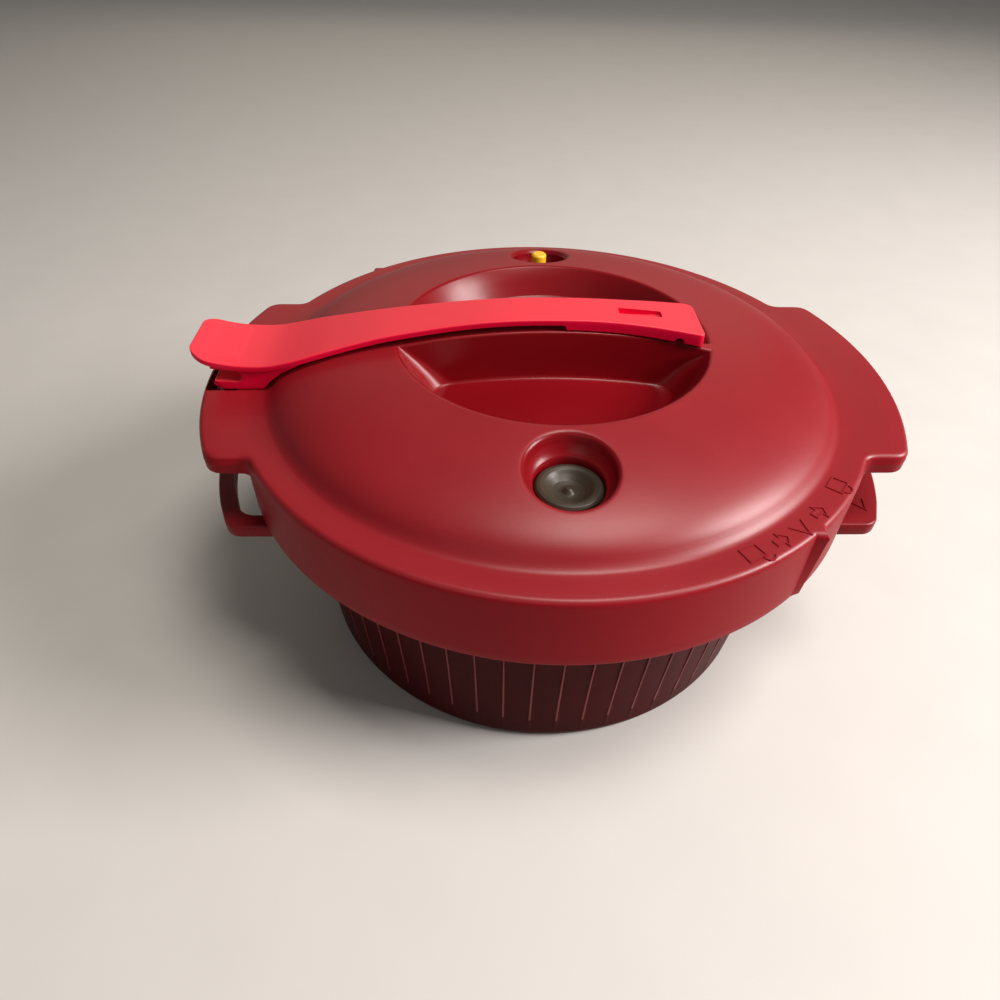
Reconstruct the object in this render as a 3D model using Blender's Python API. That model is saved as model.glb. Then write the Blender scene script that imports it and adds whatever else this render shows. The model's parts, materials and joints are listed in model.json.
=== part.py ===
"""A microwave pressure cooker: ribbed bowl, bayonet lid with a locking lever, relief valve and pressure indicator.

The origin is the centre of the bowl's underside. +Z is up, +X runs through the right handle,
and -Y is the front, where the relief valve is. The lever lies along X and its hinge is at -X.
"""

from math import cos, pi, radians, sin, sqrt

import bmesh
import bpy
from mathutils import Matrix, Vector

MM = 0.001
GAP = 0.4 * MM  # clearance left between neighbouring pieces

# Lid
RIM_R = 123.5 * MM
RIM_Z = 113.0 * MM
SKIRT_BOTTOM_Z = 83.0 * MM
SKIRT_WALL = 2.8 * MM
LID_WALL = 3.0 * MM
DOME_R = 110.0 * MM
DOME_HEIGHT = 20.4 * MM
RIM_FILLET = 2.0 * MM
HANDLE_R = 137.0 * MM
LID_HANDLE_HALF_Y = 57.0 * MM
LID_HANDLE_THICKNESS = 8.0 * MM
POINTER_ANGLES = (-49.8, 130.2)
INNER_RIB_R = (102.5 * MM, 104.6 * MM)  # a ring inside the lid that holds the gasket in its groove
INNER_RIB_Z = 104.6 * MM

# Grip recess and bar
RECESS_RIM_R = 61.5 * MM
RECESS_RIM_Z = 130.0 * MM
RECESS_FLOOR_R = 49.5 * MM
BAR_HALF_WIDTH = 9.9 * MM
BAR_END_FLARE = 1.6 * MM
BAR_TOP_Z = 135.5 * MM
BAR_ARCH = 6.1 * MM
NOTCH_X = 50.0 * MM  # the bar is cut away here, behind a thin wall, so that a finger reaches the lever's end
NOTCH_FRONT_Y = -8.0 * MM
NOTCH_FLOOR_Z = 119.0 * MM
BAR_WALL = 2.8 * MM
BAR_HOLLOW_HALF_LENGTH = 46.0 * MM

# Dimples that hold the valve and the indicator
DIMPLE_Y = 80.0 * MM
DIMPLE_WALL = 2.8 * MM
DIMPLE_DEPTH = 14.0 * MM
FRONT_DIMPLE_R = 16.0 * MM
FRONT_FLOOR_R = 11.8 * MM
FRONT_FLOOR_Z = 112.0 * MM
BACK_DIMPLE_R = 15.0 * MM
BACK_FLOOR_R = 10.5 * MM
BACK_FLOOR_Z = 114.0 * MM
PLUG_Y = 31.0 * MM  # the safety plug, in the recess behind the bar
VALVE_HOLE_R = 8.4 * MM
GUIDE_HOLE_R = 4.6 * MM
PLUG_HOLE_R = 3.4 * MM

# Bayonet: the lid's lugs turn in under the bowl's
LUG_ANGLES = (45, 135, 225, 315)
LUG_HALF_ANGLE = 13
LID_LUG_Z = (85.0 * MM, 89.5 * MM)
LID_LUG_INNER_R = 117.2 * MM
BOWL_LUG_Z = (90.0 * MM, 94.5 * MM)
BOWL_LUG_OUTER_R = 116.6 * MM

# Bowl
BOWL_BOTTOM_R = 100.1 * MM
BOWL_TAPER = 0.073
BOWL_WALL = 3.0 * MM
BOWL_FLOOR = 3.4 * MM
BOWL_RIM_Z = 103.0 * MM
BOWL_LIP_R = 113.0 * MM
BOWL_LIP_HEIGHT = 5.5 * MM
RIB_COUNT = 60
RIB_FIRST_ANGLE = -89.2
RIB_HEIGHT = 1.3 * MM  # at the top; it is nothing at the foot
RIB_HALF_THICKNESS = 0.35 * MM
RIB_Z = (4.0 * MM, 96.0 * MM)
BOWL_HANDLE_TOP_Z = 82.0 * MM
BOWL_HANDLE_THICKNESS = 5.7 * MM
BOWL_HANDLE_HALF_Y = 60.0 * MM
HANDLE_SLOT_WALL = 6.2 * MM
HANDLE_SLOT_CORNER_R = 8.0 * MM

# Lever and its hinge
PIN_X = -128.5 * MM
PIN_Z = 110.6 * MM
PIN_R = 1.2 * MM
PIN_HOLE_R = 1.5 * MM
PIN_HALF_LENGTH = 19.0 * MM
POCKET_HALF_Y = 16.0 * MM
POCKET_FLOOR_Z = 106.6 * MM
BLOCK_HALF_Y = 15.5 * MM
KNUCKLE_R = 3.2 * MM
KNUCKLE_Y = (6.0 * MM, 14.0 * MM)
LEVER_THICKNESS = 2.5 * MM
LEVER_STEP_X = 4.0 * MM
BOLT_HALF_Y = 4.0 * MM
BOLT_X = (-127.0 * MM, -124.2 * MM)
BOLT_Z = (82.6 * MM, 112.7 * MM)

SEGMENTS = 64
SMALL_SEGMENTS = 24
TINY_SEGMENTS = 18

for old in list(bpy.data.objects):
    bpy.data.objects.remove(old)


# ---------------------------------------------------------------- materials

def material(name, colour, roughness, metallic=0.0):
    made = bpy.data.materials.new(name)
    made.use_nodes = True
    shader = made.node_tree.nodes["Principled BSDF"]
    shader.inputs["Base Color"].default_value = (*colour, 1.0)
    shader.inputs["Roughness"].default_value = roughness
    shader.inputs["Metallic"].default_value = metallic
    return made


BURGUNDY = material("burgundy_plastic", (0.24, 0.012, 0.018), 0.42)
DARK_RED = material("dark_red_plastic", (0.07, 0.006, 0.008), 0.35)
CORAL = material("coral_plastic", (0.75, 0.03, 0.05), 0.38)
CHARCOAL = material("charcoal_plastic", (0.055, 0.05, 0.042), 0.4)
YELLOW = material("yellow_plastic", (0.95, 0.5, 0.02), 0.35)
SILICONE = material("grey_silicone", (0.45, 0.45, 0.43), 0.6)
RED_SILICONE = material("red_silicone", (0.4, 0.03, 0.03), 0.55)
NYLON = material("black_nylon", (0.03, 0.03, 0.03), 0.45)
STEEL = material("steel", (0.62, 0.62, 0.64), 0.25, 1.0)


# ---------------------------------------------------------------- shape tools

def finish_mesh(name, shape, skin):
    """Makes an object of a bmesh, with its faces pointing out and only its sharp edges kept sharp."""
    bmesh.ops.recalc_face_normals(shape, faces=shape.faces)
    mesh = bpy.data.meshes.new(name)
    shape.to_mesh(mesh)
    shape.free()
    mesh.shade_smooth()
    mesh.set_sharp_from_angle(angle=radians(35))
    mesh.materials.append(skin)
    made = bpy.data.objects.new(name, mesh)
    bpy.context.scene.collection.objects.link(made)
    return made


def turned(name, profile, skin, centre=(0, 0), segments=SMALL_SEGMENTS, start=0):
    """A closed (radius, height) profile turned about a vertical axis, from a start angle in degrees."""
    shape = bmesh.new()
    out_x, out_y = polar(1, start)
    ring = [shape.verts.new((centre[0] + r * out_x, centre[1] + r * out_y, z)) for r, z in profile]
    edges = []
    for i, point in enumerate(ring):
        if profile[i][0] > 0 or profile[i - 1][0] > 0:
            edges.append(shape.edges.new((ring[i - 1], point)))
    bmesh.ops.spin(
        shape, geom=ring + edges, cent=(*centre, 0), axis=(0, 0, 1),
        angle=2 * pi, steps=segments, use_merge=True,
    )
    bmesh.ops.remove_doubles(shape, verts=shape.verts, dist=1e-6)
    return finish_mesh(name, shape, skin)


def plate(name, outline, z_low, z_high, skin):
    """A plan outline of (x, y) points as a plate between two heights."""
    shape = bmesh.new()
    face = shape.faces.new([shape.verts.new((x, y, z_low)) for x, y in outline])
    pushed = bmesh.ops.extrude_face_region(shape, geom=[face])
    top = [v for v in pushed["geom"] if isinstance(v, bmesh.types.BMVert)]
    bmesh.ops.translate(shape, verts=top, vec=(0, 0, z_high - z_low))
    return finish_mesh(name, shape, skin)


def side_plate(name, outline, half_y, skin):
    """A side outline of (x, z) points as a plate centred on the XZ plane."""
    shape = bmesh.new()
    face = shape.faces.new([shape.verts.new((x, -half_y, z)) for x, z in outline])
    pushed = bmesh.ops.extrude_face_region(shape, geom=[face])
    back = [v for v in pushed["geom"] if isinstance(v, bmesh.types.BMVert)]
    bmesh.ops.translate(shape, verts=back, vec=(0, 2 * half_y, 0))
    return finish_mesh(name, shape, skin)


def block(name, low, high, skin=NYLON):
    (x0, y0, z0), (x1, y1, z1) = low, high
    return plate(name, [(x0, y0), (x1, y0), (x1, y1), (x0, y1)], z0, z1, skin)


def rod_along_y(name, x, z, radius, y0, y1, skin, segments=TINY_SEGMENTS):
    shape = bmesh.new()
    bmesh.ops.create_cone(
        shape, cap_ends=True, segments=segments, radius1=radius, radius2=radius, depth=y1 - y0,
        matrix=Matrix.Translation((x, (y0 + y1) / 2, z)) @ Matrix.Rotation(pi / 2, 4, "X"),
    )
    return finish_mesh(name, shape, skin)


def loft(name, sections, skin):
    """A solid through four-cornered sections, each a list of points in the same order."""
    shape = bmesh.new()
    rows = [[shape.verts.new(point) for point in section] for section in sections]
    for row, after in zip(rows, rows[1:]):
        count = len(row)
        for i in range(count):
            j = (i + 1) % count
            shape.faces.new((row[i], row[j], after[j], after[i]))
    shape.faces.new(rows[0])
    shape.faces.new(rows[-1])
    return finish_mesh(name, shape, skin)


def combine(target, tool, operation, solver):
    """Adds or cuts with a tool object, which is then only a guide."""
    step = target.modifiers.new(tool.name, "BOOLEAN")
    step.operation = operation
    step.solver = solver
    step.object = tool
    tool.hide_render = True
    tool.display_type = "WIRE"


def add(target, *tools, solver="EXACT"):
    for tool in tools:
        combine(target, tool, "UNION", solver)


def cut(target, *tools, solver="EXACT"):
    for tool in tools:
        combine(target, tool, "DIFFERENCE", solver)


def merged(name, pieces):
    """Several closed tool shapes that don't meet, as one tool."""
    shape = bmesh.new()
    for piece in pieces:
        shape.from_mesh(piece.data)
        bpy.data.objects.remove(piece)
    return finish_mesh(name, shape, NYLON)


def polar(radius, degrees):
    return radius * cos(radians(degrees)), radius * sin(radians(degrees))


def in_mm(points):
    """Points written in millimetres, in metres."""
    return [(a * MM, b * MM) for a, b in points]


def arc(radius, start, end, steps):
    return [polar(radius, start + (end - start) * i / steps) for i in range(steps + 1)]


def rounded(corners, steps=4):
    """An outline through (x, y, fillet radius) corners, with each corner turned into an arc."""
    outline = []
    for i, (x, y, radius) in enumerate(corners):
        here = Vector((x, y))
        if radius == 0:
            outline.append((x, y))
            continue
        before = (Vector(corners[i - 1][:2]) - here).normalized()
        after = (Vector(corners[(i + 1) % len(corners)][:2]) - here).normalized()
        half = before.angle(after) / 2
        middle = here + (before + after).normalized() * (radius / sin(half))
        start = here + before * (radius / (sin(half) / cos(half))) - middle
        sweep = start.angle_signed(here + after * (radius / (sin(half) / cos(half))) - middle)
        for k in range(steps + 1):
            turn = Matrix.Rotation(-sweep * k / steps, 2)
            outline.append(tuple(middle + turn @ start))
    return outline


def through(points, x):
    """Height at x of a smooth curve through a few (x, height) points."""
    if x <= points[0][0]:
        return points[0][1]
    if x >= points[-1][0]:
        return points[-1][1]
    i = max(k for k, (px, _) in enumerate(points[:-1]) if px <= x)
    (x0, z0), (x1, z1) = points[i], points[i + 1]
    span = x1 - x0
    t = (x - x0) / span

    def slope(k):
        low, high = max(k - 1, 0), min(k + 1, len(points) - 1)
        return (points[high][1] - points[low][1]) / (points[high][0] - points[low][0])

    blend = t * t * (3 - 2 * t)
    bend = slope(i) * t * (1 - t) ** 2 - slope(i + 1) * t * t * (1 - t)
    return z0 + (z1 - z0) * blend + span * bend


# ---------------------------------------------------------------- bowl

def bowl_outside(z):
    return BOWL_BOTTOM_R + BOWL_TAPER * z


def bowl_handle(name, side):
    """A flat handle, and the curved slot in its half that the lock bolt travels over."""
    top = BOWL_HANDLE_TOP_Z
    low = top - BOWL_HANDLE_THICKNESS
    corner_x = sqrt(HANDLE_R**2 - BOWL_HANDLE_HALF_Y**2)
    root_x = 92 * MM
    half = rounded([
        (root_x, BOWL_HANDLE_HALF_Y, 0),
        (corner_x, BOWL_HANDLE_HALF_Y, 7 * MM),
        (*polar(HANDLE_R, 20), 0),
    ])
    front = [(x, -y) for x, y in half]
    outline = front + arc(HANDLE_R, -20, 20, 10)[1:-1] + half[::-1]
    turn = Matrix.Rotation(0 if side > 0 else pi, 2)
    handle = plate(name, [tuple(turn @ Vector(p)) for p in outline], low, top, DARK_RED)
    slot_y = BOWL_HANDLE_HALF_Y - HANDLE_SLOT_WALL
    outer_r, inner_r = HANDLE_R - HANDLE_SLOT_WALL, RIM_R - 3 * MM
    corners = [(*polar(outer_r, -5), 0), (*polar(outer_r, 4), 0), (*polar(outer_r, 12), 0)]
    corners += [(sqrt(outer_r**2 - slot_y**2), slot_y, HANDLE_SLOT_CORNER_R)]
    corners += [(sqrt(inner_r**2 - slot_y**2), slot_y, 0)]
    slot = rounded(corners) + arc(inner_r, 25, -5, 8)
    cut(handle, plate(name + "_slot", [tuple(turn @ Vector(p)) for p in slot],
                      low - 2 * MM, top + 2 * MM, DARK_RED))
    return handle


def rib(index):
    """A thin fin on the bowl's wall that fades out towards the foot."""
    low, high = RIB_Z
    root = 1.5 * MM  # how far the fin reaches into the wall
    points = [
        (bowl_outside(low) - root, low), (bowl_outside(low) + 0.05 * MM, low),
        (bowl_outside(high) + RIB_HEIGHT, high), (bowl_outside(high) - root, high),
    ]
    fin = side_plate(f"rib_{index}", points, RIB_HALF_THICKNESS, DARK_RED)
    fin.data.transform(Matrix.Rotation(radians(RIB_FIRST_ANGLE + index * 360 / RIB_COUNT), 4, "Z"))
    return fin


def sector(name, r0, r1, z0, z1, middle, half_angle, skin=NYLON):
    outline = arc(r1, middle - half_angle, middle + half_angle, 5)
    outline += arc(r0, middle + half_angle, middle - half_angle, 5)
    return plate(name, outline, z0, z1, skin)


def bowl_hollow(top):
    """The inside of the bowl from its rounded floor up to the top height, from the wall to the axis."""
    low = 9 * MM
    corner = bowl_outside(low) - BOWL_WALL
    return [
        (bowl_outside(top) - BOWL_WALL, top), (corner, low), (corner - 2.5 * MM, BOWL_FLOOR + 1.1 * MM),
        (corner - 7.5 * MM, BOWL_FLOOR), (0, BOWL_FLOOR),
    ]


def make_bowl():
    lip_low = BOWL_RIM_Z - BOWL_LIP_HEIGHT
    groove_r = (60 * MM, 89 * MM)  # a shallow ring around the middle of the underside
    outer = [
        (0, 0), (groove_r[0], 0), (groove_r[0] + 1 * MM, 1 * MM), (groove_r[1], 1 * MM),
        (groove_r[1] + 1 * MM, 0), (BOWL_BOTTOM_R - 3.9 * MM, 0), (BOWL_BOTTOM_R - 1.1 * MM, 0.9 * MM),
        (bowl_outside(4 * MM), 4 * MM), (bowl_outside(lip_low), lip_low), (BOWL_LIP_R, lip_low + 1 * MM),
        (BOWL_LIP_R, BOWL_RIM_Z),
    ]
    bowl = turned("bowl", outer + bowl_hollow(BOWL_RIM_Z), DARK_RED, segments=SEGMENTS)
    add(bowl, bowl_handle("right_bowl_handle", 1), bowl_handle("left_bowl_handle", -1))
    lugs = [
        sector(f"bowl_lug_{a}", 105.5 * MM, BOWL_LUG_OUTER_R, *BOWL_LUG_Z, a, LUG_HALF_ANGLE)
        for a in LUG_ANGLES
    ]
    add(bowl, merged("bowl_lugs", lugs), merged("ribs", [rib(i) for i in range(RIB_COUNT)]))
    top = BOWL_HANDLE_TOP_Z + 4 * MM
    cut(bowl, turned("bowl_inside", bowl_hollow(top) + [(0, top)], DARK_RED, segments=SEGMENTS))


def make_gasket():
    """The sealing ring, with a lip that spreads over the bowl's rim."""
    profile = [
        (106, 109.6), (105.4, 105.8), (107.5, 103.4), (112.6, 103.4), (113.4, 105.6), (116.6, 105.6),
        (117.2, 103.8), (119.6, 103.8), (120, 109.6),
    ]
    turned("lid_gasket", in_mm(profile), SILICONE, segments=SEGMENTS)


# ---------------------------------------------------------------- lid

def dome(shrink, first, last, steps):
    """Points on the dome's half ellipse, or on one that lies inside it by shrink."""
    angles = [radians(first + (last - first) * i / steps) for i in range(steps + 1)]
    wide, high = DOME_R - shrink, DOME_HEIGHT - shrink
    return [(round(wide * cos(a), 9), RIM_Z + high * sin(a)) for a in angles]


def recess_profile(grow, z_floor, z_top):
    """The recess: a flat floor and a wall that leans outwards, from floor to above the dome."""
    lean = (RECESS_RIM_R - RECESS_FLOOR_R) / (RECESS_RIM_Z - RIM_Z)
    return [
        (0, z_floor), (RECESS_FLOOR_R + grow - 1.5 * MM, z_floor),
        (RECESS_FLOOR_R + grow + lean * MM, z_floor + 1.0 * MM),
        (RECESS_FLOOR_R + grow + lean * (z_top - RIM_Z), z_top), (0, z_top),
    ]


def dimple_profile(rim_r, floor_r, z_floor, grow=0.0):
    """A round-bottomed hollow, from its floor to above the dome."""
    wall = [
        (floor_r + grow + (rim_r - floor_r) * sin(a), z_floor + DIMPLE_DEPTH * (1 - cos(a)))
        for a in (radians(18 * k) for k in range(1, 6))
    ]
    top = z_floor + DIMPLE_DEPTH + 12 * MM
    return [(0, z_floor), (floor_r + grow, z_floor)] + wall + [(rim_r + grow, top), (0, top)]


def bar_half_width(x):
    return BAR_HALF_WIDTH + BAR_END_FLARE * (x / RECESS_RIM_R) ** 2


def bar_top(x):
    return BAR_TOP_Z - BAR_ARCH * (x / RECESS_RIM_R) ** 2


def bar_sections(half_length, inset, z_low, end_rise):
    sections = []
    count = 14
    for i in range(count + 1):
        x = half_length * (2 * i / count - 1)
        wide = bar_half_width(x) - inset
        low = z_low + max(abs(x) - RECESS_FLOOR_R - 1.5 * MM, 0) * end_rise
        high = bar_top(x) - inset
        sections.append([(x, -wide, low), (x, wide, low), (x, wide, high), (x, -wide, high)])
    return sections


def lid_handle(name, side):
    """One of the lid's two handles: a round-cornered tab level with the rim."""
    corner_x = sqrt(HANDLE_R**2 - LID_HANDLE_HALF_Y**2)
    rim_x = sqrt(RIM_R**2 - LID_HANDLE_HALF_Y**2)
    inside = RIM_R - 1.2 * MM
    half = rounded([
        (*polar(inside, 34), 0),
        (rim_x + 0.5 * MM, LID_HANDLE_HALF_Y, 5 * MM),
        (corner_x, LID_HANDLE_HALF_Y, 7 * MM),
        (*polar(HANDLE_R, 18), 0),
    ])
    front = [(x, -y) for x, y in half]
    outline = front + arc(HANDLE_R, -18, 18, 9)[1:-1] + half[::-1] + arc(inside, 34, -34, 12)[1:-1]
    turn = Matrix.Rotation(0 if side > 0 else pi, 2)
    points = [tuple(turn @ Vector(p)) for p in outline]
    return plate(name, points, RIM_Z - LID_HANDLE_THICKNESS, RIM_Z - 0.05 * MM, BURGUNDY)


def pointer(name, degrees):
    """An upright wedge on the skirt that shows where the lid stands."""
    tall = [(RIM_R - 2 * MM, RIM_Z - 0.6 * MM), (RIM_R - 2 * MM, SKIRT_BOTTOM_Z + 0.2 * MM),
            (RIM_R + 0.6 * MM, SKIRT_BOTTOM_Z + 0.2 * MM), (RIM_R + 2.8 * MM, RIM_Z - 0.6 * MM)]
    wedge = side_plate(name, tall, 1.6 * MM, BURGUNDY)
    wedge.data.transform(Matrix.Rotation(radians(degrees), 4, "Z"))
    return wedge


def drill(name, radius, y):
    """A round tool that passes through the lid's inner wall there, and stays under its top."""
    low, high = RIM_Z - 9 * MM, RIM_Z + 3.5 * MM
    return turned(name, [(0, low), (radius, low), (radius, high), (0, high)], NYLON, (0, y))


def make_cover():
    skirt_in = RIM_R - SKIRT_WALL
    under = RIM_Z - LID_WALL
    above = BAR_TOP_Z + 10.5 * MM
    outside = [(0, SKIRT_BOTTOM_Z), (RIM_R, SKIRT_BOTTOM_Z), (RIM_R, RIM_Z - RIM_FILLET)]
    outside += [(RIM_R - 0.6 * MM, RIM_Z - 0.6 * MM), (RIM_R - RIM_FILLET, RIM_Z)]
    outside += [(DOME_R + 1.5 * MM, RIM_Z), (DOME_R, RIM_Z + 1.2 * MM)] + dome(0, 12, 90, 9)
    cover = turned("cover", outside, BURGUNDY, segments=SEGMENTS)

    rib_in, rib_out = INNER_RIB_R
    hollow = [(0, SKIRT_BOTTOM_Z - 5 * MM), (skirt_in, SKIRT_BOTTOM_Z - 5 * MM), (skirt_in, under)]
    hollow += [(rib_out, under), (rib_out, INNER_RIB_Z), (rib_in, INNER_RIB_Z), (rib_in, RIM_Z + 4.5 * MM)]
    hollow += dome(LID_WALL, 27, 90, 6)
    cavity = turned("lid_cavity", hollow, BURGUNDY, segments=SEGMENTS)
    cut(
        cavity,
        turned("recess_shell", recess_profile(LID_WALL, under, above), BURGUNDY,
               segments=SEGMENTS, start=1.7),
        turned("front_shell",
               dimple_profile(FRONT_DIMPLE_R, FRONT_FLOOR_R, FRONT_FLOOR_Z - LID_WALL, DIMPLE_WALL),
               BURGUNDY, (0, -DIMPLE_Y)),
        turned("back_shell",
               dimple_profile(BACK_DIMPLE_R, BACK_FLOOR_R, BACK_FLOOR_Z - LID_WALL, DIMPLE_WALL),
               BURGUNDY, (0, DIMPLE_Y)),
    )
    cut(cover, cavity)
    add(cover, lid_handle("right_lid_handle", 1), lid_handle("left_lid_handle", -1))
    add(cover, *[pointer(f"pointer_{i}", a) for i, a in enumerate(POINTER_ANGLES)])
    cut(
        cover,
        turned("recess", recess_profile(0, RIM_Z, above + 1 * MM), BURGUNDY, segments=SEGMENTS, start=1.1),
        turned("front_dimple", dimple_profile(FRONT_DIMPLE_R, FRONT_FLOOR_R, FRONT_FLOOR_Z), BURGUNDY,
               (0, -DIMPLE_Y)),
        turned("back_dimple", dimple_profile(BACK_DIMPLE_R, BACK_FLOOR_R, BACK_FLOOR_Z), BURGUNDY,
               (0, DIMPLE_Y)),
    )
    bar_slope = (RECESS_RIM_Z - RIM_Z) / (RECESS_RIM_R - RECESS_FLOOR_R)
    bar = loft("grip_bar", bar_sections(62.8 * MM, 0, RIM_Z - 1.4 * MM, bar_slope), BURGUNDY)
    cut(bar, block("finger_notch", (NOTCH_X, NOTCH_FRONT_Y, NOTCH_FLOOR_Z),
                   (NOTCH_X + 20 * MM, BAR_HALF_WIDTH + 5 * MM, BAR_TOP_Z + 5 * MM)))
    add(cover, bar)
    cut(cover, loft("bar_hollow", bar_sections(BAR_HOLLOW_HALF_LENGTH, BAR_WALL, RIM_Z - 7 * MM, 0), BURGUNDY))

    lugs = [
        sector(f"lid_lug_{a}", LID_LUG_INNER_R, RIM_R - 1.2 * MM, *LID_LUG_Z, a, LUG_HALF_ANGLE)
        for a in LUG_ANGLES
    ]
    add(cover, merged("lid_lugs", lugs), solver="MANIFOLD")
    cut(
        cover,
        block("hinge_pocket", (PIN_X - 6.7 * MM, -POCKET_HALF_Y, POCKET_FLOOR_Z),
              (PIN_X + 6.2 * MM, POCKET_HALF_Y, RIM_Z + 5 * MM)),
        block("bolt_hole", (BOLT_X[0] - GAP, -BOLT_HALF_Y - GAP, POCKET_FLOOR_Z - 5.6 * MM),
              (BOLT_X[1] + GAP, BOLT_HALF_Y + GAP, POCKET_FLOOR_Z + 2.4 * MM)),
        rod_along_y("pin_hole", PIN_X, PIN_Z, PIN_HOLE_R, -PIN_HALF_LENGTH - GAP, PIN_HALF_LENGTH + GAP,
                    NYLON),
        drill("valve_hole", VALVE_HOLE_R, -DIMPLE_Y),
        drill("guide_hole", GUIDE_HOLE_R, DIMPLE_Y),
        drill("plug_hole", PLUG_HOLE_R, PLUG_Y),
        solver="MANIFOLD",
    )


def make_safety_plug():
    """A soft plug that blows out of the recess's floor if the valve fails."""
    profile = [
        (0, 115.2), (3.4, 114.9), (4.7, 114.1), (5, 113.4), (3, 113.4), (3, 109.6), (4.3, 109.6),
        (3.5, 107.5), (0, 107.5),
    ]
    turned("safety_plug", in_mm(profile), RED_SILICONE, (0, PLUG_Y), TINY_SEGMENTS)


# ---------------------------------------------------------------- relief valve

def ring(name, r0, r1, z0, z1, skin, y, segments=SMALL_SEGMENTS):
    profile = [(r0, z0), (r1, z0), (r1, z1), (r0, z1)]
    return turned(name, in_mm(profile), skin, (0, y), segments)


def make_regulator():
    """The valve's body, its fixings, and the spring-loaded stem with the knob that lifts it."""
    y = -DIMPLE_Y
    housing = [
        (2.2, 90.3), (8, 90.3), (8, 113.7), (10.8, 113.7), (10.8, 115), (6.6, 115), (6.6, 92.8),
        (2.2, 92.8),
    ]
    turned("regulator_housing", in_mm(housing), NYLON, (0, y))
    ring("regulator_washer", 8.5, 11.2, 112.4, 113.3, SILICONE, y)
    ring("regulator_nut", 8.4, 12.2, 104.4, 108.5, NYLON, y)
    ring("regulator_cap", 2.1, 6.2, 109.4, 111.3, NYLON, y, TINY_SEGMENTS)
    ring("regulator_seat", 2.6, 5.2, 93.1, 94.4, RED_SILICONE, y, TINY_SEGMENTS)
    stem = [(0, 94.7), (4.8, 94.7), (4.8, 96.6), (1.6, 96.9), (1.6, 114.8), (0, 114.8)]
    turned("regulator_stem", in_mm(stem), STEEL, (0, y), TINY_SEGMENTS)
    knob = [
        (0, 118.9), (1.2, 118.8), (2.2, 117.8), (4.5, 117.7), (7.4, 118.4), (9.2, 119.7), (10.4, 120),
        (11.3, 119.1), (11.3, 116.7), (10.9, 116.3), (3.4, 116.3), (3.4, 112.1), (1.9, 112.1),
        (1.9, 115.2), (0, 115.2),
    ]
    turned("regulator_knob", in_mm(knob), CHARCOAL, (0, y))


def make_regulator_spring():
    """A coil from the poppet's shoulder up to the housing's cap."""
    turns, per_turn = 5, 10
    low, high = 97.8 * MM, 108.5 * MM
    coil_r, wire_r = 3.9 * MM, 0.45 * MM
    curve = bpy.data.curves.new("regulator_spring", "CURVE")
    curve.dimensions = "3D"
    curve.bevel_depth = wire_r
    curve.bevel_resolution = 1
    curve.use_fill_caps = True
    line = curve.splines.new("POLY")
    count = turns * per_turn
    line.points.add(count)
    for i in range(count + 1):
        x, y = polar(coil_r, 360 * i / per_turn)
        line.points[i].co = (x, y - DIMPLE_Y, low + (high - low) * i / count, 1)
    curve.materials.append(STEEL)
    bpy.context.scene.collection.objects.link(bpy.data.objects.new("regulator_spring", curve))


def make_steam_guard():
    """A slotted cap around the foot of the valve."""
    cup = [(0, 86), (10.6, 86), (10.6, 98.5), (8.4, 98.5), (8.4, 96.8), (9.4, 96.8), (9.4, 87.3), (0, 87.3)]
    guard = turned("steam_guard", in_mm(cup), NYLON, (0, -DIMPLE_Y))
    slots = []
    for k in range(4):
        bar = block(f"slot_{k}", (-14 * MM, -1.3 * MM, 88.5 * MM), (14 * MM, 1.3 * MM, 95 * MM))
        bar.data.transform(Matrix.Rotation(radians(45 * k + 22.5), 4, "Z"))
        bar.data.transform(Matrix.Translation((0, -DIMPLE_Y, 0)))
        slots.append(bar)
    cut(guard, *slots)


# ---------------------------------------------------------------- pressure indicator

def make_indicator():
    """A yellow pin that steam pushes up through its guide until the seal under it closes the hole."""
    y = DIMPLE_Y
    pin = [
        (0, 99.2), (4.2, 99.2), (4.2, 101), (1.8, 101.2), (1.8, 116.4), (3.5, 116.4), (3.5, 126.8),
        (2.7, 127.6), (0, 127.6),
    ]
    turned("indicator_pin", in_mm(pin), YELLOW, (0, y), TINY_SEGMENTS)
    ring("indicator_seal", 2.1, 4.7, 101.5, 102.9, RED_SILICONE, y, TINY_SEGMENTS)
    guide = [(2.2, 108), (4.2, 108), (4.2, 114.4), (6.6, 114.4), (6.6, 116), (2.2, 116)]
    turned("indicator_guide", in_mm(guide), NYLON, (0, y), TINY_SEGMENTS)
    ring("indicator_nut", 4.6, 8, 107.9, 110.6, NYLON, y, TINY_SEGMENTS)


# ---------------------------------------------------------------- lever

CREST = in_mm([
    (-139.5, 128.8), (-130, 125.6), (-120, 124.1), (-108, 124.4), (-86, 129.6), (-62, 134.6),
    (-25, 139.4), (8, 140.2), (35, 138.6), (57, 136.0),
])
HALF_WIDTH = in_mm([
    (-139.5, 12.6), (-137, 14.6), (-130, 15.8), (-112, 16.4), (-98, 16.1), (-80, 13.6), (-62, 11.6),
    (-30, 9.8), (10, 9.5), (30, 10.2), (55, 12.8),
])


def lever_underside(x):
    """The lever is thin over the dome and comes down to the grip bar beyond the step."""
    thin = through(CREST, x) - LEVER_THICKNESS
    return min(thin, bar_top(x) + GAP) if x > LEVER_STEP_X else thin


def lever_plate():
    stations = [-139.5, -137, -133, -127, -120, -112, -104, -95, -86, -74, -62, -46, -30, -14, -2]
    stations += [3.99, 4.01, 18, 32, 46, 55, 57]
    sections = []
    for x in (s * MM for s in stations):
        wide = through(HALF_WIDTH, x) - (1.5 * MM if x > 56 * MM else 0)
        low, high = lever_underside(x), through(CREST, x)
        sections.append([(x, -wide, low), (x, wide, low), (x, wide, high), (x, -wide, high)])
    return loft("lever", sections, CORAL)


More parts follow.
